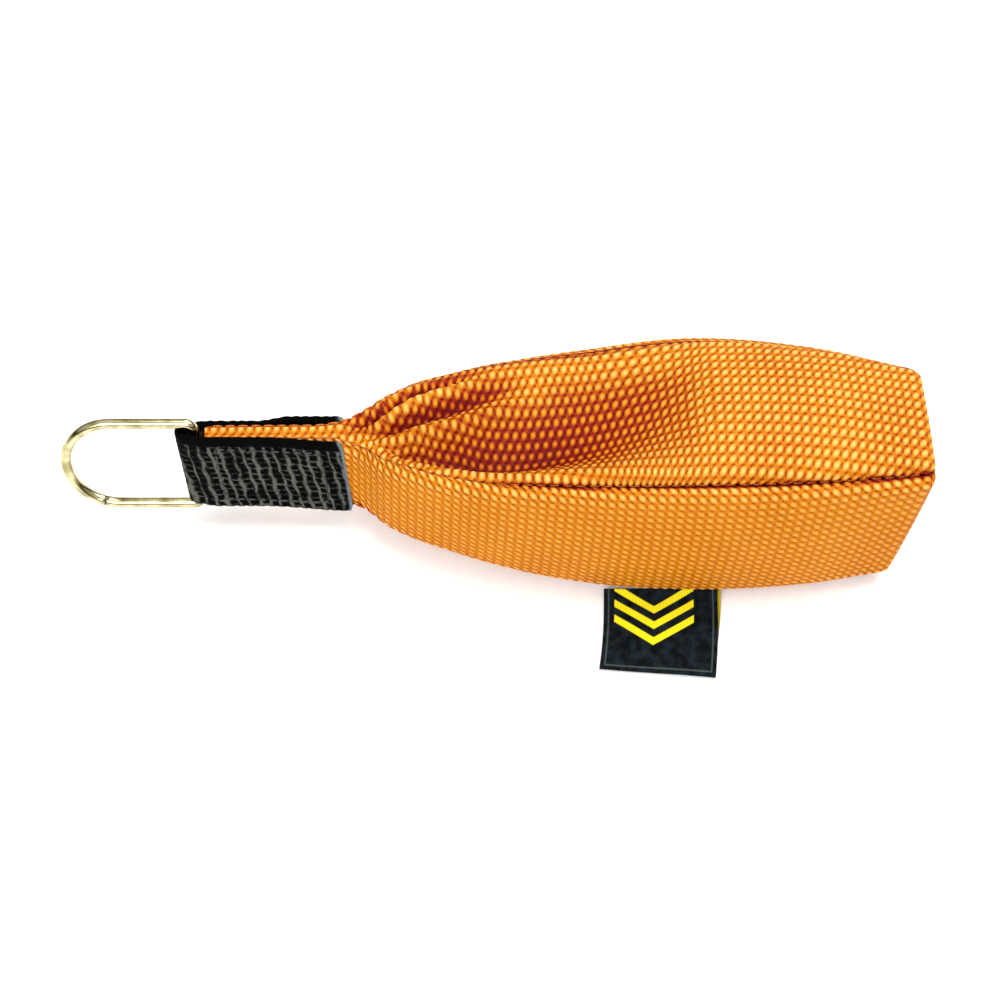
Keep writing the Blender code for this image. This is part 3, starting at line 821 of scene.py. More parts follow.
def yarn_map(u, v, lean, pitch, stretch):
    """Counts yarns over cloth cut on the bias: a across the weft, b across the warp, along (1, lean)."""
    cell = pitch * math.sqrt(2)
    return (u / stretch[0] + lean * v / stretch[1]) / cell, (u / stretch[0] - lean * v / stretch[2]) / cell


def plain_weave(a, b):
    """Height of a plain weave where a and b count its weft and warp yarns.

    A yarn is half an ellipse across and a cosine along; warp yarn j is over weft yarn i where i + j is even.
    The height is that of the higher yarn.
    """
    i, j = np.round(a), np.round(b)
    warp = 0.52 * np.cos(np.pi * (a + j)) + 1.05 * np.sqrt(np.maximum(1 - (2.8 * (b - j)) ** 2, 0))
    weft = 0.85 * np.sqrt(np.maximum(1 - (2.7 * (a - i)) ** 2, 0)) - 0.42 - 0.38 * np.cos(np.pi * (b + i))
    return np.maximum(np.maximum(warp, weft), -0.5)


def gusset_shade(x, w, width):
    """Painted shade on the top gusset's weave, making it darker and redder: deep in its hollow and in its small
    folds, with a little painted light on their ridges.

    The hollow's share is its depth over HOLLOW_FULL, to the power 0.8, let out towards the back seam and the
    base. A small fold is read a little nearer the front seam than it lies, and wider.
    """
    broad = gusset_fold(x, w, width, 0.0)
    hollow = np.clip(broad / HOLLOW_FULL, 0, 1.2) ** 0.8
    hollow = hollow * (1 - ease(w, *HOLLOW_BACK)) * (1 - ease(x, *HOLLOW_BASE))
    aside = w - FOLD_SHIFT
    small = gusset_fold(x, aside, width, 1.0, FOLD_SPREAD) - gusset_fold(x, aside, width, 0.0)
    return hollow + np.clip(small / FOLD_FULL, -0.25, 1.1)


def seam_shade(x, reach, from_top_front):
    """Painted shade in a seam's groove: 1 at the seam, 0 at SEAM_REACH from it, less at a soft seam."""
    shade = 1 - np.clip(reach / SEAM_REACH, 0.0, 1.0)
    if from_top_front is None:
        return shade
    return shade * np.where(from_top_front < 2 * SEAM_REACH, ease(x, *OPEN_SEAM), SOFT_SEAM)


def make_wall(name, surface, shell, grid, sizes, colours):
    """A closed panel of cloth, with its weave raised in its outer face.

    surface(t, v) gives its face before the weave, and shell(points, t) where its inner face meets its seams.
    Away from the seams the fill swells it by SWELL.
    """
    t, v = np.meshgrid(np.linspace(0, 1, grid[0]), np.linspace(0, 1, grid[1]), indexing="ij")
    point = surface(t, v)
    x = point[..., 0]
    u, w = cloth_map(point)
    relief = sizes.yarn_relief / MM
    skew = SKEW * (1 - ease(x, *SKEW_SPAN)) if name == "top_gusset" else 0.0
    yarns = yarn_map(u - skew * w, w, WARP_LEAN[name], sizes.yarn_pitch / MM, BIAS_STRETCH[name])
    from_start, from_end = np.abs(w - w[:, :1]), np.abs(w[:, -1:] - w)
    reach = np.minimum(from_start, from_end)
    fade = np.clip(reach / WEAVE_FADE, 0.0, 1.0)
    outward = -normals(point)
    swell = SWELL * ease(reach, *SWELL_SPAN)
    lift = swell + relief * (plain_weave(*yarns) - WEAVE_MIDDLE) * fade - SEAM_PINCH * (1 - fade)
    outer = point + outward * lift[..., None]
    outer[..., 2] = np.maximum(outer[..., 2], 0.0)
    inside = ease(reach, 0.0, INNER_SPAN)[..., None]
    inner = shell(point, t) * (1 - inside) + (point - outward * INNER_FACE) * inside
    inner[..., 2] = np.maximum(inner[..., 2], INNER_FLOOR)

    # Painted shade for the top gusset's hollow and folds.
    hollow = gusset_shade(x, 1 - v, np.ptp(w, axis=1)[:, None]) if name == "top_gusset" else 0.0
    # Painted light: the front and back walls show the weave's painted highlight and shade more faintly.
    faint_weave = ease(reach, *FAINT_WEAVE_SPAN) if name in ("front_panel", "back_panel") else 0.0
    from_top_front = {"top_gusset": from_end, "front_panel": from_start}.get(name)
    attributes = {
        "hollow": hollow + 0 * w,
        "seam": seam_shade(x, reach, from_top_front),
        "contrast": 1 - (1 - FAINT_WEAVE) * faint_weave + 0 * w,
    }
    uv, counts = np.stack([u, w], axis=-1), np.stack(yarns, axis=-1)
    inner = inner[::COARSE, ::COARSE]
    nylon = ballistic_nylon(colours)
    piece = sheet_mesh(name + "_cloth", outer, inner, COARSE, nylon, attributes, uv, counts)
    put(piece, "bag", "bag_fabric", name)


def on_neck(x, s, n):
    """A point of the neck's own frame: s up along the webbing's width, n through its thickness."""
    x, s, n = np.broadcast_arrays(x, s, n)
    y = NECK_Y + s * math.sin(LEAN) + n * math.cos(LEAN)
    z = NECK_Z + s * math.cos(LEAN) - n * math.sin(LEAN)
    return np.stack([x, y, z], axis=-1)


# The front leg of the webbing sags towards its cut end, and the back one stands up: how far, over which x.
FRONT_SAG = 1.4
FRONT_SAG_SPAN = (-96.0, -76.0)
BACK_RISE = 1.3
BACK_RISE_SPAN = (-97.0, -89.0)
LEG_SIDE = (0.5, 2.0)


def leg_drop(x, n):
    """How far the webbing hangs below the neck's own line at x, at the reach n to its front (< 0) or back."""
    front = FRONT_SAG * ease(x, *FRONT_SAG_SPAN) * ease(-n, *LEG_SIDE)
    return front - BACK_RISE * ease(x, *BACK_RISE_SPAN) * ease(n, *LEG_SIDE)


def webbing_line(steps):
    """The loop's inner face seen from its edge, at equal steps: back leg, fold round the bar, front leg.

    Returns x and n, their outward normals, and the distance along.
    """
    turn = WIRE / 2 + GAP
    legs = np.linspace(WEB_END_X, RING_BAR_X, 400)
    leg_n = turn + (WEB_INNER - turn) * ease(legs, RING_BAR_X, RING_BAR_X + 2 * WEB_EASE)
    angle = np.linspace(math.pi / 2, 3 * math.pi / 2, 200)[1:-1]
    x = np.concatenate([legs, RING_BAR_X + turn * np.cos(angle), legs[::-1]])
    n = np.concatenate([leg_n, turn * np.sin(angle), -leg_n[::-1]])
    run = run_length(np.stack([x, n], axis=-1))
    at = np.linspace(0, run[-1], steps)
    x, n = np.interp(at, run, x), np.interp(at, run, n)
    direction = unit(np.stack([np.gradient(x), np.gradient(n)], axis=-1))
    return x, n, direction[:, 1], -direction[:, 0], at


SELVEDGE = 0.9
YARN_LIFT = 0.16
UPPER_EDGE_SHADE_SPAN = (2.6, 1.6)


def make_webbing(sizes, colours):
    """The loop of webbing: two faces that meet in rounded selvedges, ribbed across, its cut ends melted.

    A rib is |cos| of the distance along, wandering a little, and a rung |cos| of the distance across; the
    height is the greater of the two, shared out, and sets painted highlight and shade. The upper selvedge is
    darkened by a band of painted shade, where it leans away from the light.
    """
    x, n, out_x, out_n, run = webbing_line(385)
    half_width, half = WEB_WIDTH / 2, WEB_THICK / 2
    run, s = np.meshgrid(run, np.linspace(-half_width, half_width, 97), indexing="ij")
    from_selvedge = half_width - np.abs(s)
    end = np.minimum(run, run.max() - run)
    wander = 0.22 * np.sin(run * 0.9 + s * 0.35) + 0.18 * np.sin(s * 1.3 - run * 0.4)
    rib = np.abs(np.cos(np.pi * (run + wander + 0.12 * s) / (sizes.rib_pitch / MM)))
    rung = np.abs(np.cos(np.pi * (s + wander) / (sizes.rung_pitch / MM)))
    weave = np.maximum(rib**1.5, 0.85 * rung**2)
    edge = np.sqrt(1 - np.maximum(1 - from_selvedge / SELVEDGE, 0.0) ** 2)
    bulge = np.sign(s) * YARN_LIFT * rib * ease(from_selvedge, 1.2, 0.0)
    corner = 0.18 * np.maximum(2.2 - from_selvedge, 0.0) ** 2 * np.exp(-end / 2.5)
    slant = WEB_SLANT * (s + half_width)
    faces = []
    for side in (1, -1):
        lift = half + side * edge * (half + YARN_LIFT * (weave - 0.6) * ease(end, 0.3, 1.4))
        at_x = x[:, None] + out_x[:, None] * lift - slant - corner
        at_n = n[:, None] + out_n[:, None] * lift
        faces.append(on_neck(at_x, s + bulge - leg_drop(at_x, at_n), at_n))
    ratio = 4
    # Reversed across, so that its faces point out.
    # Painted shade: a darker band along the upper selvedge, which leans away from the light.
    upper_edge_shade = 1 - 0.55 * ease(half_width - s, *UPPER_EDGE_SHADE_SPAN)
    sealed = 1.9 * (1 - ease(end + 0.25 * wander, 0.1, 1.0))
    front, back, weave, sealed, uv = (
        grid[:, ::-1] for grid in (*faces, weave * upper_edge_shade, sealed, np.stack([run, s], axis=-1))
    )
    attributes = {"weave": weave, "sealed": sealed}
    back = back[::ratio, ::ratio]
    piece = sheet_mesh("webbing_loop_cloth", front, back, ratio, polyester_webbing(colours), attributes, uv)
    put(piece, "bag", "webbing", "webbing_loop")


def ring_line(steps):
    """x and s of the wire's middle line at equal steps: bar, corner, leg, half an ellipse, leg, corner."""
    turn = np.linspace(0.0, math.pi / 2, 40)
    corner_x = RING_BAR_X - RING_CORNER + RING_CORNER * np.cos(turn)
    corner_s = RING_HALF - RING_CORNER + RING_CORNER * np.sin(turn)
    sweep = np.linspace(math.pi / 2, 3 * math.pi / 2, 200)
    x = np.concatenate([corner_x, RING_ARC_X + RING_ARC_REACH * np.cos(sweep), corner_x[::-1]])
    s = np.concatenate([corner_s, RING_HALF * np.sin(sweep), -corner_s[::-1]])
    x, s = np.append(x, x[0]), np.append(s, s[0])
    run = run_length(np.stack([x, s], axis=-1))
    at = np.linspace(0, run[-1], steps, endpoint=False)
    return np.interp(at, run, x), np.interp(at, run, s)


def make_ring(sizes, colours):
    """The D-shaped wire ring, with the shallow pinch where its ends were welded."""
    x, s = ring_line(400)
    weld_x = RING_ARC_X + RING_ARC_REACH * math.sin(RING_WELD)
    weld_s = -RING_HALF * math.cos(RING_WELD)
    gap = np.hypot(x - weld_x, s - weld_s)
    pinch = 0.05 * np.exp(-((gap - 0.9) ** 2) / 0.1) - 0.1 * np.exp(-((gap / 0.3) ** 2))
    radius = sizes.ring_wire / MM / 2 * (1 + pinch)
    side = np.broadcast_to(on_neck(0, 0, 1) - on_neck(0, 0, 0), (len(x), 3))
    points, uv = tube(on_neck(x, s, 0.0), side, radius, 24)
    weld = np.exp(-((gap / 0.35) ** 2))[:, None] + np.zeros(24)
    faces = [quads(len(x), 24, flip=True, wrap_rows=True, wrap_columns=True)]
    piece = make_mesh("wire_ring", points, faces, plated_wire(colours), {"weld": weld}, uv)
    put(piece, "ring_body", "ring_steel", "ring")


# How deep a seam's stitches are bedded in it.
STITCH_BED = 0.1


def make_seam_threads(sizes, colours):
    """Long stitches down in the groove of each seam, and round the base."""
    thread = bonded_thread("orange_bonded_thread", colours.thread, linear("8a3206"))
    pitch = sizes.stitch_length / MM
    t = np.linspace(0.006, 0.992, 400)
    middle = section_frame(t)[0]
    lines = {}
    for name, seam, share in zip(SEAM_NAMES, SEAMS, SINK_SHARE):
        line = seam_point(seam, t)
        inward = unit((middle - line) * (0, 1, 1))
        lines[name] = (line + inward * (share * along(SINK, t) + STITCH_BED)[:, None], -inward)
    v = np.linspace(0, 1, 60, endpoint=False)
    loop = np.concatenate([wall_point(panel, np.ones_like(v), v) for panel in PANELS])
    outward = unit((loop - loop.mean(axis=0)) * (0, 1, 1))
    lines["base"] = (loop - outward * STITCH_BED, outward + (0.7, 0, 0))
    for name, (line, up) in lines.items():
        length = run_length(line)[-1]
        start = np.arange(0.0, length - pitch, pitch)
        ends = along_line(line, start + 0.1 * pitch), along_line(line, start + 0.92 * pitch)
        facing = along_line(line + up, start + 0.5 * pitch) - along_line(line, start + 0.5 * pitch)
        piece = stitch_row(f"seam_stitches_{name}", *ends, facing, sizes.thread / MM / 2, thread)
        put(piece, "bag", "bag_thread", f"seam_thread_{name}")


def make_box_stitches(sizes, colours):
    """The box stitch through both legs of the webbing, as it shows on each side."""
    thread = bonded_thread("black_bonded_thread", linear("3a3a3c"), linear("050506"))
    pitch = sizes.stitch_length / MM * 0.85
    x = np.array([STITCH_LEFT, STITCH_RIGHT, STITCH_RIGHT, STITCH_LEFT, STITCH_LEFT])
    s = np.array([1, 1, -1, -1, 1]) * STITCH_HALF
    for name, side in (("front_box_stitch", -1), ("back_box_stitch", 1)):
        reach = side * (WEB_INNER + WEB_THICK + 0.12)
        line = on_neck(x - WEB_SLANT * (s + STITCH_HALF), s - leg_drop(x, reach), reach)
        length = run_length(line)[-1]
        start = np.arange(0.0, length - 0.5 * pitch, pitch)
        ends = along_line(line, start + 0.08 * pitch), along_line(line, start + 0.9 * pitch)
        facing = np.broadcast_to(side * (on_neck(0, 0, 1) - on_neck(0, 0, 0)), ends[0].shape)
        piece = stitch_row(name + "_thread", *ends, facing, sizes.thread / MM / 2, thread)
        put(piece, "bag", "black_thread", name)


def label_place(out, across, high):
    """A point of the label, which turns as it goes out: out from the seam, across, high over the hinge."""
    far = LABEL_CENTRE[-1][0]
    turn = out / far * LABEL_TURN
    x = LABEL_LEFT + across + out * np.sin(turn)
    y = LABEL_HINGE[0] - out + across * np.sin(turn) * out / far
    return np.stack([x, y, LABEL_HINGE[1] + high], axis=-1)


def label_path():
    """The tape seen from its edge: over the label's middle line, round its far edge, and back under it."""
    knots = np.array(LABEL_CENTRE)
    out = np.linspace(0, knots[-1, 0], 300)
    drop = np.interp(out, knots[:, 0], knots[:, 1])
    drop[10:-10] = np.convolve(drop, np.ones(21) / 21, mode="valid")
    line = np.stack([out, drop], axis=-1)
    side = unit(np.stack([-np.gradient(drop), np.gradient(out)], axis=-1))
    gap = LABEL_HALF - LABEL_LAYER / 2
    turn = np.linspace(math.pi / 2, -math.pi / 2, 20)[1:-1]
    fold = line[-1] - (gap, 0) + gap * np.stack([np.cos(turn), np.sin(turn)], axis=-1)
    path = np.concatenate([(line + side * gap)[:-7], fold, (line - side * gap)[:-7][::-1]])
    run = run_length(path)
    at = np.linspace(0, run[-1], 273)
    return at, np.stack([np.interp(at, run, path[:, axis]) for axis in (0, 1)], axis=-1)


def chevrons(u, w, stroke):
    """1 on a stroke of the mark: stripes of equal u + slope |w - centre|, inside the mark's span."""
    off = np.abs(w - MARK_CENTRE * LABEL_WIDTH)
    chevron = u + CHEVRON_SLOPE * off
    stripe = (chevron - CHEVRON_START) / (CHEVRON_PITCH * stroke)
    from_stroke = np.abs(stripe - np.round(stripe)) * CHEVRON_PITCH * stroke
    inside = (off < MARK_HALF) & (chevron > MARK_SPAN[0]) & (chevron < MARK_SPAN[1]) & (u < 19)
    return ease(from_stroke, stroke / 2 + MARK_BLUR, stroke / 2 - MARK_BLUR) * inside


def make_label(sizes, colours):
    """A folded label: one tape that goes out to the far edge, turns under, and comes back to the seam."""
    at, path = label_path()
    middle = at[-1] / 2
    direction = unit(np.gradient(path, axis=0))
    outward = np.stack([-direction[:, 1], direction[:, 0]], axis=-1)
    under = ease(at, middle - 0.5, middle + 0.5)[:, None]
    u, w = np.meshgrid(at, np.linspace(0, LABEL_WIDTH, 169), indexing="ij")
    far = path[:, :1] / LABEL_CENTRE[-1][0]
    # The under layer has slipped 0.8 mm sideways near the seam, and the far edge waves by 0.2 mm.
    shift = 0.8 * under * (1 - ease(far, 0.1, 0.75)) * ease(w, 0, LABEL_WIDTH)
    wave = 0.10 * ease(far, 0.2, 1.0) * (1 + np.cos(w / LABEL_WIDTH * 2 * np.pi * 1.3 + 0.6))
    layers = []
    for half in (LABEL_LAYER / 2, -LABEL_LAYER / 2):
        edge = path + outward * half
        layers.append(label_place(edge[:, :1] + 0 * w, w + shift, edge[:, 1:] + wave))
    mark = chevrons(u, w, sizes.chevron_stroke / MM)
    sliver = ease(under * (w - LABEL_WIDTH + 1.2), 0, 0.3) * (1 - ease(far, 0.1, 0.7))
    from_edge = np.minimum(np.minimum(w, LABEL_WIDTH - w), np.abs(u - middle))
    rim = np.exp(-(((from_edge - 1.1) / 0.16) ** 2)) * (1 - under) * 0.8
    # Reversed across, so that its faces point out.
    front, back, mark, rim, uv = (
        grid[:, ::-1] for grid in (*layers, np.maximum(mark, 0.75 * sliver), rim, np.stack([u, w], axis=-1))
    )
    attributes = {"mark": mark, "rim": rim}
    ratio = 8
    piece = sheet_mesh(
        "woven_label", front, back[::ratio, ::ratio], ratio, damask_label(colours), attributes, uv
    )
    put(piece, None, "label", "label")
    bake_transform(piece)


def skin_ring(t, amount, gather):
    """Rings once round the bag at each t, moved in by amount and drawn towards the middle by gather."""
    v = np.linspace(0, 1, 18, endpoint=False)
    t_grid, v_grid = np.meshgrid(t, v, indexing="ij")
    loop = np.concatenate([wall_point(panel, t_grid, v_grid) for panel in PANELS], axis=1)
    every = np.broadcast_to(t[:, None], loop.shape[:2])
    hollow = np.maximum(path_value(HOLLOW_DEPTH, UPPER_X[0] + every * LENGTH), 0.0)
    loop = inset(loop, every, amount + 0.45 * hollow[..., None])
    middle = section_frame(every)[0]
    return middle + (loop - middle) * gather[:, None, None]


def liner_gather(t):
    """How far the liner is drawn in: narrow at its tied neck, then swelling to full."""
    return LINER_MOUTH + (1 - LINER_MOUTH) * ease(t, LINER_SPAN[1], LINER_SPAN[2])


def closed_tube_faces(rows, around, start, hub, flip):
    """The faces of a tube with a fan over its last ring to the point hub."""
    walls = quads(rows, around, start, flip=flip, wrap_columns=True)
    last = start + (rows - 1) * around + np.arange(around)
    fan = np.stack([last, np.roll(last, -1), np.full(around, hub)], axis=-1)
    return walls, fan[:, ::-1] if flip else fan


def make_liner(sizes, colours):
    """The shot's sack: pleated at its tied neck, full along the belly, closed at the base, open at its mouth.

    It is a row of rings parallel to the bag's walls; a pleat is a cosine round the ring, six to a turn.
    """
    start, neck, full, end = LINER_SPAN
    t = np.concatenate([np.linspace(start, neck, 6)[:-1], np.linspace(neck, end, 60)])
    gather = liner_gather(t)
    outer = skin_ring(t, LINER_SKIN, gather)
    thinner = t - np.where(t == t[-1], LINER_CLOTH / LENGTH, 0.0)
    inner = skin_ring(thinner, (LINER_SKIN + LINER_CLOTH / gather)[:, None, None], gather)
    around = outer.shape[1]
    pleat = 0.35 * np.cos(np.arange(around) * 2 * np.pi / 6) * (1 - ease(t, neck, full))[:, None]
    middle = outer.mean(axis=1, keepdims=True)
    away = unit(outer - middle)
    outer, inner = outer + away * pleat[..., None], inner + away * pleat[..., None]
    count = len(t) * around
    hubs = np.stack([outer[-1].mean(axis=0), inner[-1].mean(axis=0)])
    points = np.concatenate([outer.reshape(-1, 3), inner.reshape(-1, 3), hubs])
    walls, cap = closed_tube_faces(len(t), around, 0, 2 * count, False)
    inner_walls, inner_cap = closed_tube_faces(len(t), around, count, 2 * count + 1, True)
    first = np.arange(around)
    beside = (first + 1) % around
    lip = np.stack([first, count + first, count + beside, beside], axis=-1)
    faces = [np.concatenate([walls, inner_walls, lip]), np.concatenate([cap, inner_cap])]
    piece = make_mesh("shot_sack", points, faces, cotton_sacking(colours))
    put(piece, "bag", "liner", "inner_liner")


def make_tie(sizes, colours):
    """The cord round the sack's mouth: two turns, one beside the other, closed on themselves."""
    at = np.full(1, TIE_AT)
    loop = skin_ring(at, LINER_SKIN, liner_gather(at))[0]
    middle = loop.mean(axis=0)
    reach = np.linalg.norm(loop - middle, axis=-1).max() + TIE_CORD / 2 + GAP
    angle = np.linspace(0, 4 * np.pi, 160, endpoint=False)
    height = reach * 0.74 * np.cos(angle)
    width = reach * np.sin(angle)
    shift = TIE_CORD * 0.55 * np.sin(angle / 2)
    path = middle + np.stack([shift, width, height], axis=-1)
    points, uv = tube(path, np.broadcast_to((1.0, 0.0, 0.0), path.shape), TIE_CORD / 2, 8)
    faces = [quads(len(path), 8, flip=True, wrap_rows=True, wrap_columns=True)]
    thread = bonded_thread("tie_cord_braid", linear("2b2b2d"), linear("060607"))
    piece = make_mesh("sack_tie", points, faces, thread, uv=uv)
    put(piece, "bag", "tie_cord", "liner_tie")


def make_shot(sizes, colours):
    """The shot: balls in hexagonal layers across the bag, kept where each lies wholly inside the sack."""
    size = sizes.shot_size / MM
    lows, highs = (np.array(corner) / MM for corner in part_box("shot_fill"))
    layer = size * math.sqrt(2 / 3)
    row = size * math.sqrt(3) / 2
    k, j, i = np.indices(tuple(int(n) + 1 for n in np.ceil((highs - lows) / (layer, row, size))))
    x = lows[0] + k * layer
    y = lows[1] + j * row + (k % 2) * row / 3
    z = lows[2] + i * size + ((j + k) % 2) * size / 2
    centre = np.stack([x, y, z], axis=-1).reshape(-1, 3)
    t = (centre[:, 0] - UPPER_X[0]) / LENGTH
    keep = (t > SHOT_SPAN[0] + size / 2 / LENGTH) & (t < SHOT_SPAN[1] - size / 2 / LENGTH)
    centre, t = centre[keep], t[keep]
    gather = liner_gather(t)
    rings = skin_ring(t, (LINER_SKIN + LINER_CLOTH), gather)
    away = rings - centre[:, None]
    nearest = np.linalg.norm(away[..., 1:], axis=-1).min(axis=1)
    turn = np.arctan2(away[..., 2], away[..., 1])
    winding = np.abs(((np.diff(turn, axis=1, append=turn[:, :1]) + np.pi) % (2 * np.pi) - np.pi).sum(axis=1))
    centre = centre[(winding > 6) & (nearest > size / 2 + 0.2)]
    ball, ball_faces = small_ball()
    points = centre[:, None] + ball * size / 2 * 0.98
    faces = (ball_faces + np.arange(len(centre))[:, None, None] * len(ball)).reshape(-1, 3)
    piece = make_mesh("shot_balls", points, [faces], cast_shot(colours))
    put(piece, "bag", "shot", "shot_fill")


def small_ball():
    """A ball of 32 triangles: an octahedron's faces each cut in four, its points pushed out to the sphere."""
    corners = np.concatenate([np.eye(3), -np.eye(3)])
    x, y, z = (side.ravel() for side in np.meshgrid([0, 3], [1, 4], [2, 5], indexing="ij"))
    even = (x // 3 + y // 3 + z // 3) % 2 == 0
    face = np.stack([x, np.where(even, y, z), np.where(even, z, y)], axis=-1)
    pairs = np.sort(np.stack([face, np.roll(face, -1, axis=1)], axis=-1), axis=-1)
    edges, place = np.unique(pairs.reshape(-1, 2), axis=0, return_inverse=True)
    a, b, c = face.T
    ab, bc, ca = len(corners) + place.reshape(-1, 3).T
    quarters = np.array([(a, ab, ca), (ab, b, bc), (ca, bc, c), (ab, bc, ca)])
    points = np.concatenate([corners, corners[edges].sum(axis=1)])
    return unit(points), np.moveaxis(quarters, 1, -1).reshape(-1, 3)


FLOOR_HALF = 2.5
# The studio's walls by height: pale, but for one dark band that gives the ring's plating its dark lines.
WALL_TONES = (
    (0.0, "ececee"),
    (0.14, "dcdde0"),
    (0.22, "2a2b2e"),
    (0.34, "3a3b3e"),
    (0.46, "d8d9dc"),
    (0.6, "ffffff"),
)
SOFTBOX_SIZE = 0.8
KEY_PLACE = (0.20, 0.32, 0.92)
FILL_PLACE = (-0.25, -0.75, 0.76)


def make_stage(studio, colours):
    """The floor, the soft lights and the camera."""
    side = np.linspace(-FLOOR_HALF, FLOOR_HALF, 3) / MM
    x, y = np.meshgrid(side, side, indexing="ij")
    points = np.stack([x, y, np.zeros_like(x)], axis=-1)
    make_mesh("floor", points, [quads(3, 3)], matt_paper(colours))

    scene = bpy.context.scene
    scene.world = bpy.data.worlds.new("studio_walls")
    scene.world.use_nodes = True
    tree = scene.world.node_tree
    height = node(tree, "SeparateXYZ", "Z", Vector=node(tree, "TexCoord", "Generated"))
    stops = [(place, linear(code)) for place, code in WALL_TONES]
    background = tree.nodes["Background"]
    tree.links.new(node(tree, "ValToRGB", 0, {"stops": stops}, Fac=height), background.inputs["Color"])
    background.inputs["Strength"].default_value = studio.sky

    target = np.array(studio.target)
    lights = (("key_softbox", KEY_PLACE, studio.key), ("fill_softbox", FILL_PLACE, studio.fill))
    for name, place, power in lights:
        data = bpy.data.lights.new(name, "AREA")
        data.energy = power
        data.size = SOFTBOX_SIZE
        lamp = bpy.data.objects.new(name, data)
        lamp.location = place
        lamp.rotation_euler = (mathutils.Vector(target) - lamp.location).to_track_quat("-Z", "Y").to_euler()
        scene.collection.objects.link(lamp)

    data = bpy.data.cameras.new("camera")
    data.lens = studio.lens
    camera = bpy.data.objects.new("camera", data)
    away = np.array([0, -math.cos(studio.elevation), math.sin(studio.elevation)])
    camera.location = target + studio.distance * away
    camera.rotation_euler = (math.pi / 2 - studio.elevation, 0, 0)
    scene.collection.objects.link(camera)
    scene.camera = camera
    scene.view_settings.view_transform = "Standard"


# --- Settings, operators and panel ---
def length(name, text, default, highest):
    """A length setting in metres, shown in the scene's units."""
    return FloatProperty(
        name=name, description=text, default=default, min=0.00001, max=highest, precision=5, unit="LENGTH"
    )


def colour(name, text, code):
    """A colour setting, given as an sRGB hex value and kept linear."""
    return FloatVectorProperty(
        name=name, description=text, default=linear(code), size=4, min=0, max=1, subtype="COLOR"
    )


class ThrowBagSizes(PropertyGroup):
    """Sizes a maker might change without moving any piece."""

    yarn_pitch: length("Yarn pitch", "Distance from one yarn of the bag's cloth to the next", 0.00145, 0.004)
    yarn_relief: length("Yarn relief", "Half the thickness of a yarn, as raised in the cloth", 0.00016, 0.001)
    rib_pitch: length("Rib pitch", "Distance between the webbing's crosswise ribs", 0.0025, 0.006)
    rung_pitch: length("Rung pitch", "Distance between the webbing's lengthwise yarns", 0.00155, 0.004)
    ring_wire: length("Ring wire", "Diameter of the ring's wire", WIRE * MM, 0.004)
    stitch_length: length("Stitch length", "Length of one seam stitch", 0.003, 0.008)
    thread: length("Thread", "Diameter of the sewing thread", 0.0005, 0.001)
    chevron_stroke: length("Chevron stroke", "Breadth of one chevron of the label's mark", 0.0019, 0.004)
    shot_size: length("Shot size", "Diameter of one ball of shot", 0.005, 0.01)


class ThrowBagColours(PropertyGroup):
    """Colours of the bag's materials."""

    # The crown colour holds a painted highlight and the gap colour painted shade, over the yarns' own orange.
    yarn_crown_highlight: colour("Yarn crown", "Bag cloth where a yarn comes to the top", "f2ae5c")
    yarn_side: colour("Yarn side", "Bag cloth on the flank of a yarn", "c67a08")
    yarn_gap_shade: colour("Yarn gap", "Bag cloth down between the yarns", "580200")
    thread: colour("Thread", "The bag's sewing thread", "e07a1c")
    # Rib crown tone of the webbing, holding a painted highlight as well as wear.
    webbing: colour("Webbing", "Webbing where its ribs are rubbed", "54544e")
    sealed_edge: colour("Sealed edge", "Webbing where it was cut hot", "6f7a80")
    plating: colour("Plating", "The ring's plating", "d2c89c")
    label_ground: colour("Label ground", "Ground of the woven label", "04070a")
    label_mark: colour("Label mark", "Mark on the woven label", "f6e61e")
    sacking: colour("Sacking", "The shot's cotton sack", "cdc4ad")
    shot: colour("Shot", "The shot", "87888c")
    floor: colour("Floor", "The paper under the bag", "fdfdfc")


class ThrowBagStudio(PropertyGroup):
    """The camera and the lights."""

    target: FloatVectorProperty(
        name="Target", description="Where the camera looks", default=(-0.040, -0.011, 0.020), unit="LENGTH"
    )
    distance: length("Distance", "From the target to the camera", 0.420, 5.0)
    elevation: FloatProperty(
        name="Elevation", description="Camera above the horizon", default=math.radians(57.0), unit="ROTATION"
    )
    lens: FloatProperty(name="Lens", description="Focal length", default=65.6, min=10, max=300, unit="CAMERA")
    key: FloatProperty(name="Key light", description="Light from behind", default=11.0, min=0, unit="POWER")
    fill: FloatProperty(name="Fill light", description="Light from the front", default=9.5, min=0, unit="POWER")
    sky: FloatProperty(name="Walls", description="Brightness of the studio's walls", default=0.75, min=0)


def chosen(context):
    """The sizes and colours set in the scene."""
    return context.scene.throw_bag_sizes, context.scene.throw_bag_colours


class THROWBAG_OT_walls(Operator):
    """Adds the four woven walls of the bag, with their folds and sunken seams."""

    bl_idname = "throwbag.walls"
    bl_label = "Bag walls"

    def execute(self, context):
        for name in PANELS:
            make_wall(
                name,
                lambda t, v: wall_point(name, t, v),
                lambda point, t: inset(point, t, FABRIC),
                WALL_GRID,
                *chosen(context),
            )
        return {"FINISHED"}


class THROWBAG_OT_base(Operator):
    """Adds the woven base panel that closes the bag."""

    bl_idname = "throwbag.base"
    bl_label = "Bag base"

    def execute(self, context):
        def shell(point, t):
            return point - (FABRIC, 0, 0)

        make_wall("base_panel", base_point, shell, BASE_GRID, *chosen(context))
        return {"FINISHED"}


class THROWBAG_OT_seams(Operator):
    """Adds the stitches along the four long seams and round the base."""

    bl_idname = "throwbag.seams"
    bl_label = "Seam stitches"

    def execute(self, context):
        make_seam_threads(*chosen(context))
        return {"FINISHED"}


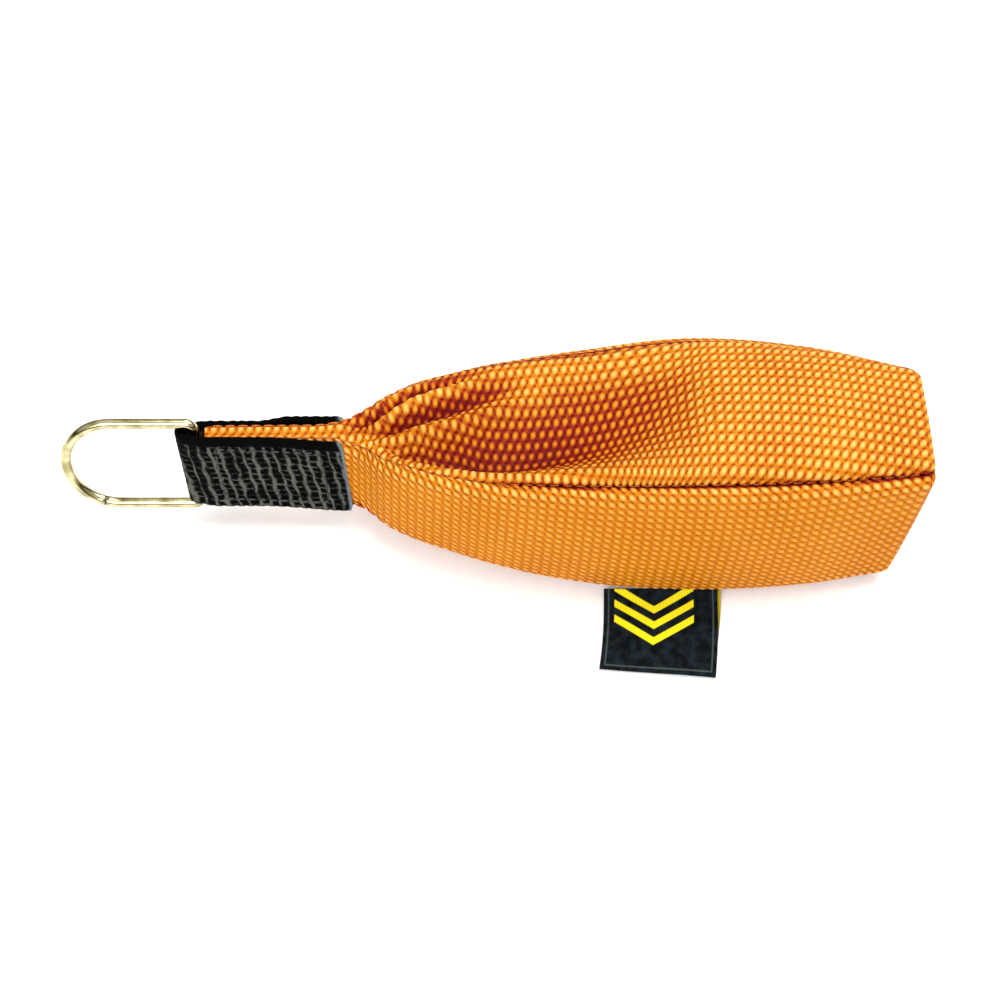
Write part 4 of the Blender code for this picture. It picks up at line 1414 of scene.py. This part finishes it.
class THROWBAG_OT_webbing(Operator):
    """Adds the loop of webbing and its box stitches."""

    bl_idname = "throwbag.webbing"
    bl_label = "Webbing loop"

    def execute(self, context):
        make_webbing(*chosen(context))
        make_box_stitches(*chosen(context))
        return {"FINISHED"}


class THROWBAG_OT_ring(Operator):
    """Adds the plated wire ring."""

    bl_idname = "throwbag.ring"
    bl_label = "Wire ring"

    def execute(self, context):
        make_ring(*chosen(context))
        return {"FINISHED"}


class THROWBAG_OT_label(Operator):
    """Adds the folded woven label."""

    bl_idname = "throwbag.label"
    bl_label = "Woven label"

    def execute(self, context):
        make_label(*chosen(context))
        return {"FINISHED"}


class THROWBAG_OT_filling(Operator):
    """Adds what is inside the bag: the cotton sack, its tie and the shot."""

    bl_idname = "throwbag.filling"
    bl_label = "Sack and shot"

    def execute(self, context):
        for make in (make_liner, make_tie, make_shot):
            make(*chosen(context))
        return {"FINISHED"}


class THROWBAG_OT_stage(Operator):
    """Adds the floor, the lights and the camera."""

    bl_idname = "throwbag.stage"
    bl_label = "Stage"

    def execute(self, context):
        make_stage(context.scene.throw_bag_studio, context.scene.throw_bag_colours)
        return {"FINISHED"}


PIECE_OPERATORS = (
    THROWBAG_OT_walls,
    THROWBAG_OT_base,
    THROWBAG_OT_seams,
    THROWBAG_OT_webbing,
    THROWBAG_OT_ring,
    THROWBAG_OT_label,
    THROWBAG_OT_filling,
    THROWBAG_OT_stage,
)
SETTINGS = (
    ("throw_bag_sizes", ThrowBagSizes),
    ("throw_bag_colours", ThrowBagColours),
    ("throw_bag_studio", ThrowBagStudio),
)


class THROWBAG_PT_pieces(Panel):
    """Lists the bag's pieces and their settings."""

    bl_idname = "THROWBAG_PT_pieces"
    bl_label = "Throw bag"
    bl_space_type = "VIEW_3D"
    bl_region_type = "UI"
    bl_category = "Throw bag"

    def draw(self, context):
        for operator in PIECE_OPERATORS:
            self.layout.operator(operator.bl_idname)
        for setting, group in SETTINGS:
            box = self.layout.box()
            for name in group.__annotations__:
                box.prop(getattr(context.scene, setting), name)


def register():
    for setting, group in SETTINGS:
        bpy.utils.register_class(group)
        setattr(bpy.types.Scene, setting, PointerProperty(type=group))
    for made in (*PIECE_OPERATORS, THROWBAG_PT_pieces):
        bpy.utils.register_class(made)


def unregister():
    for made in (THROWBAG_PT_pieces, *reversed(PIECE_OPERATORS)):
        bpy.utils.unregister_class(made)
    for setting, group in reversed(SETTINGS):
        delattr(bpy.types.Scene, setting)
        bpy.utils.unregister_class(group)


def main():
    register()
    bpy.ops.throwbag.stage()
    bpy.ops.throwbag.walls()
    bpy.ops.throwbag.base()
    bpy.ops.throwbag.seams()
    bpy.ops.throwbag.webbing()
    bpy.ops.throwbag.ring()
    bpy.ops.throwbag.label()
    bpy.ops.throwbag.filling()


if __name__ == "__main__":
    main()
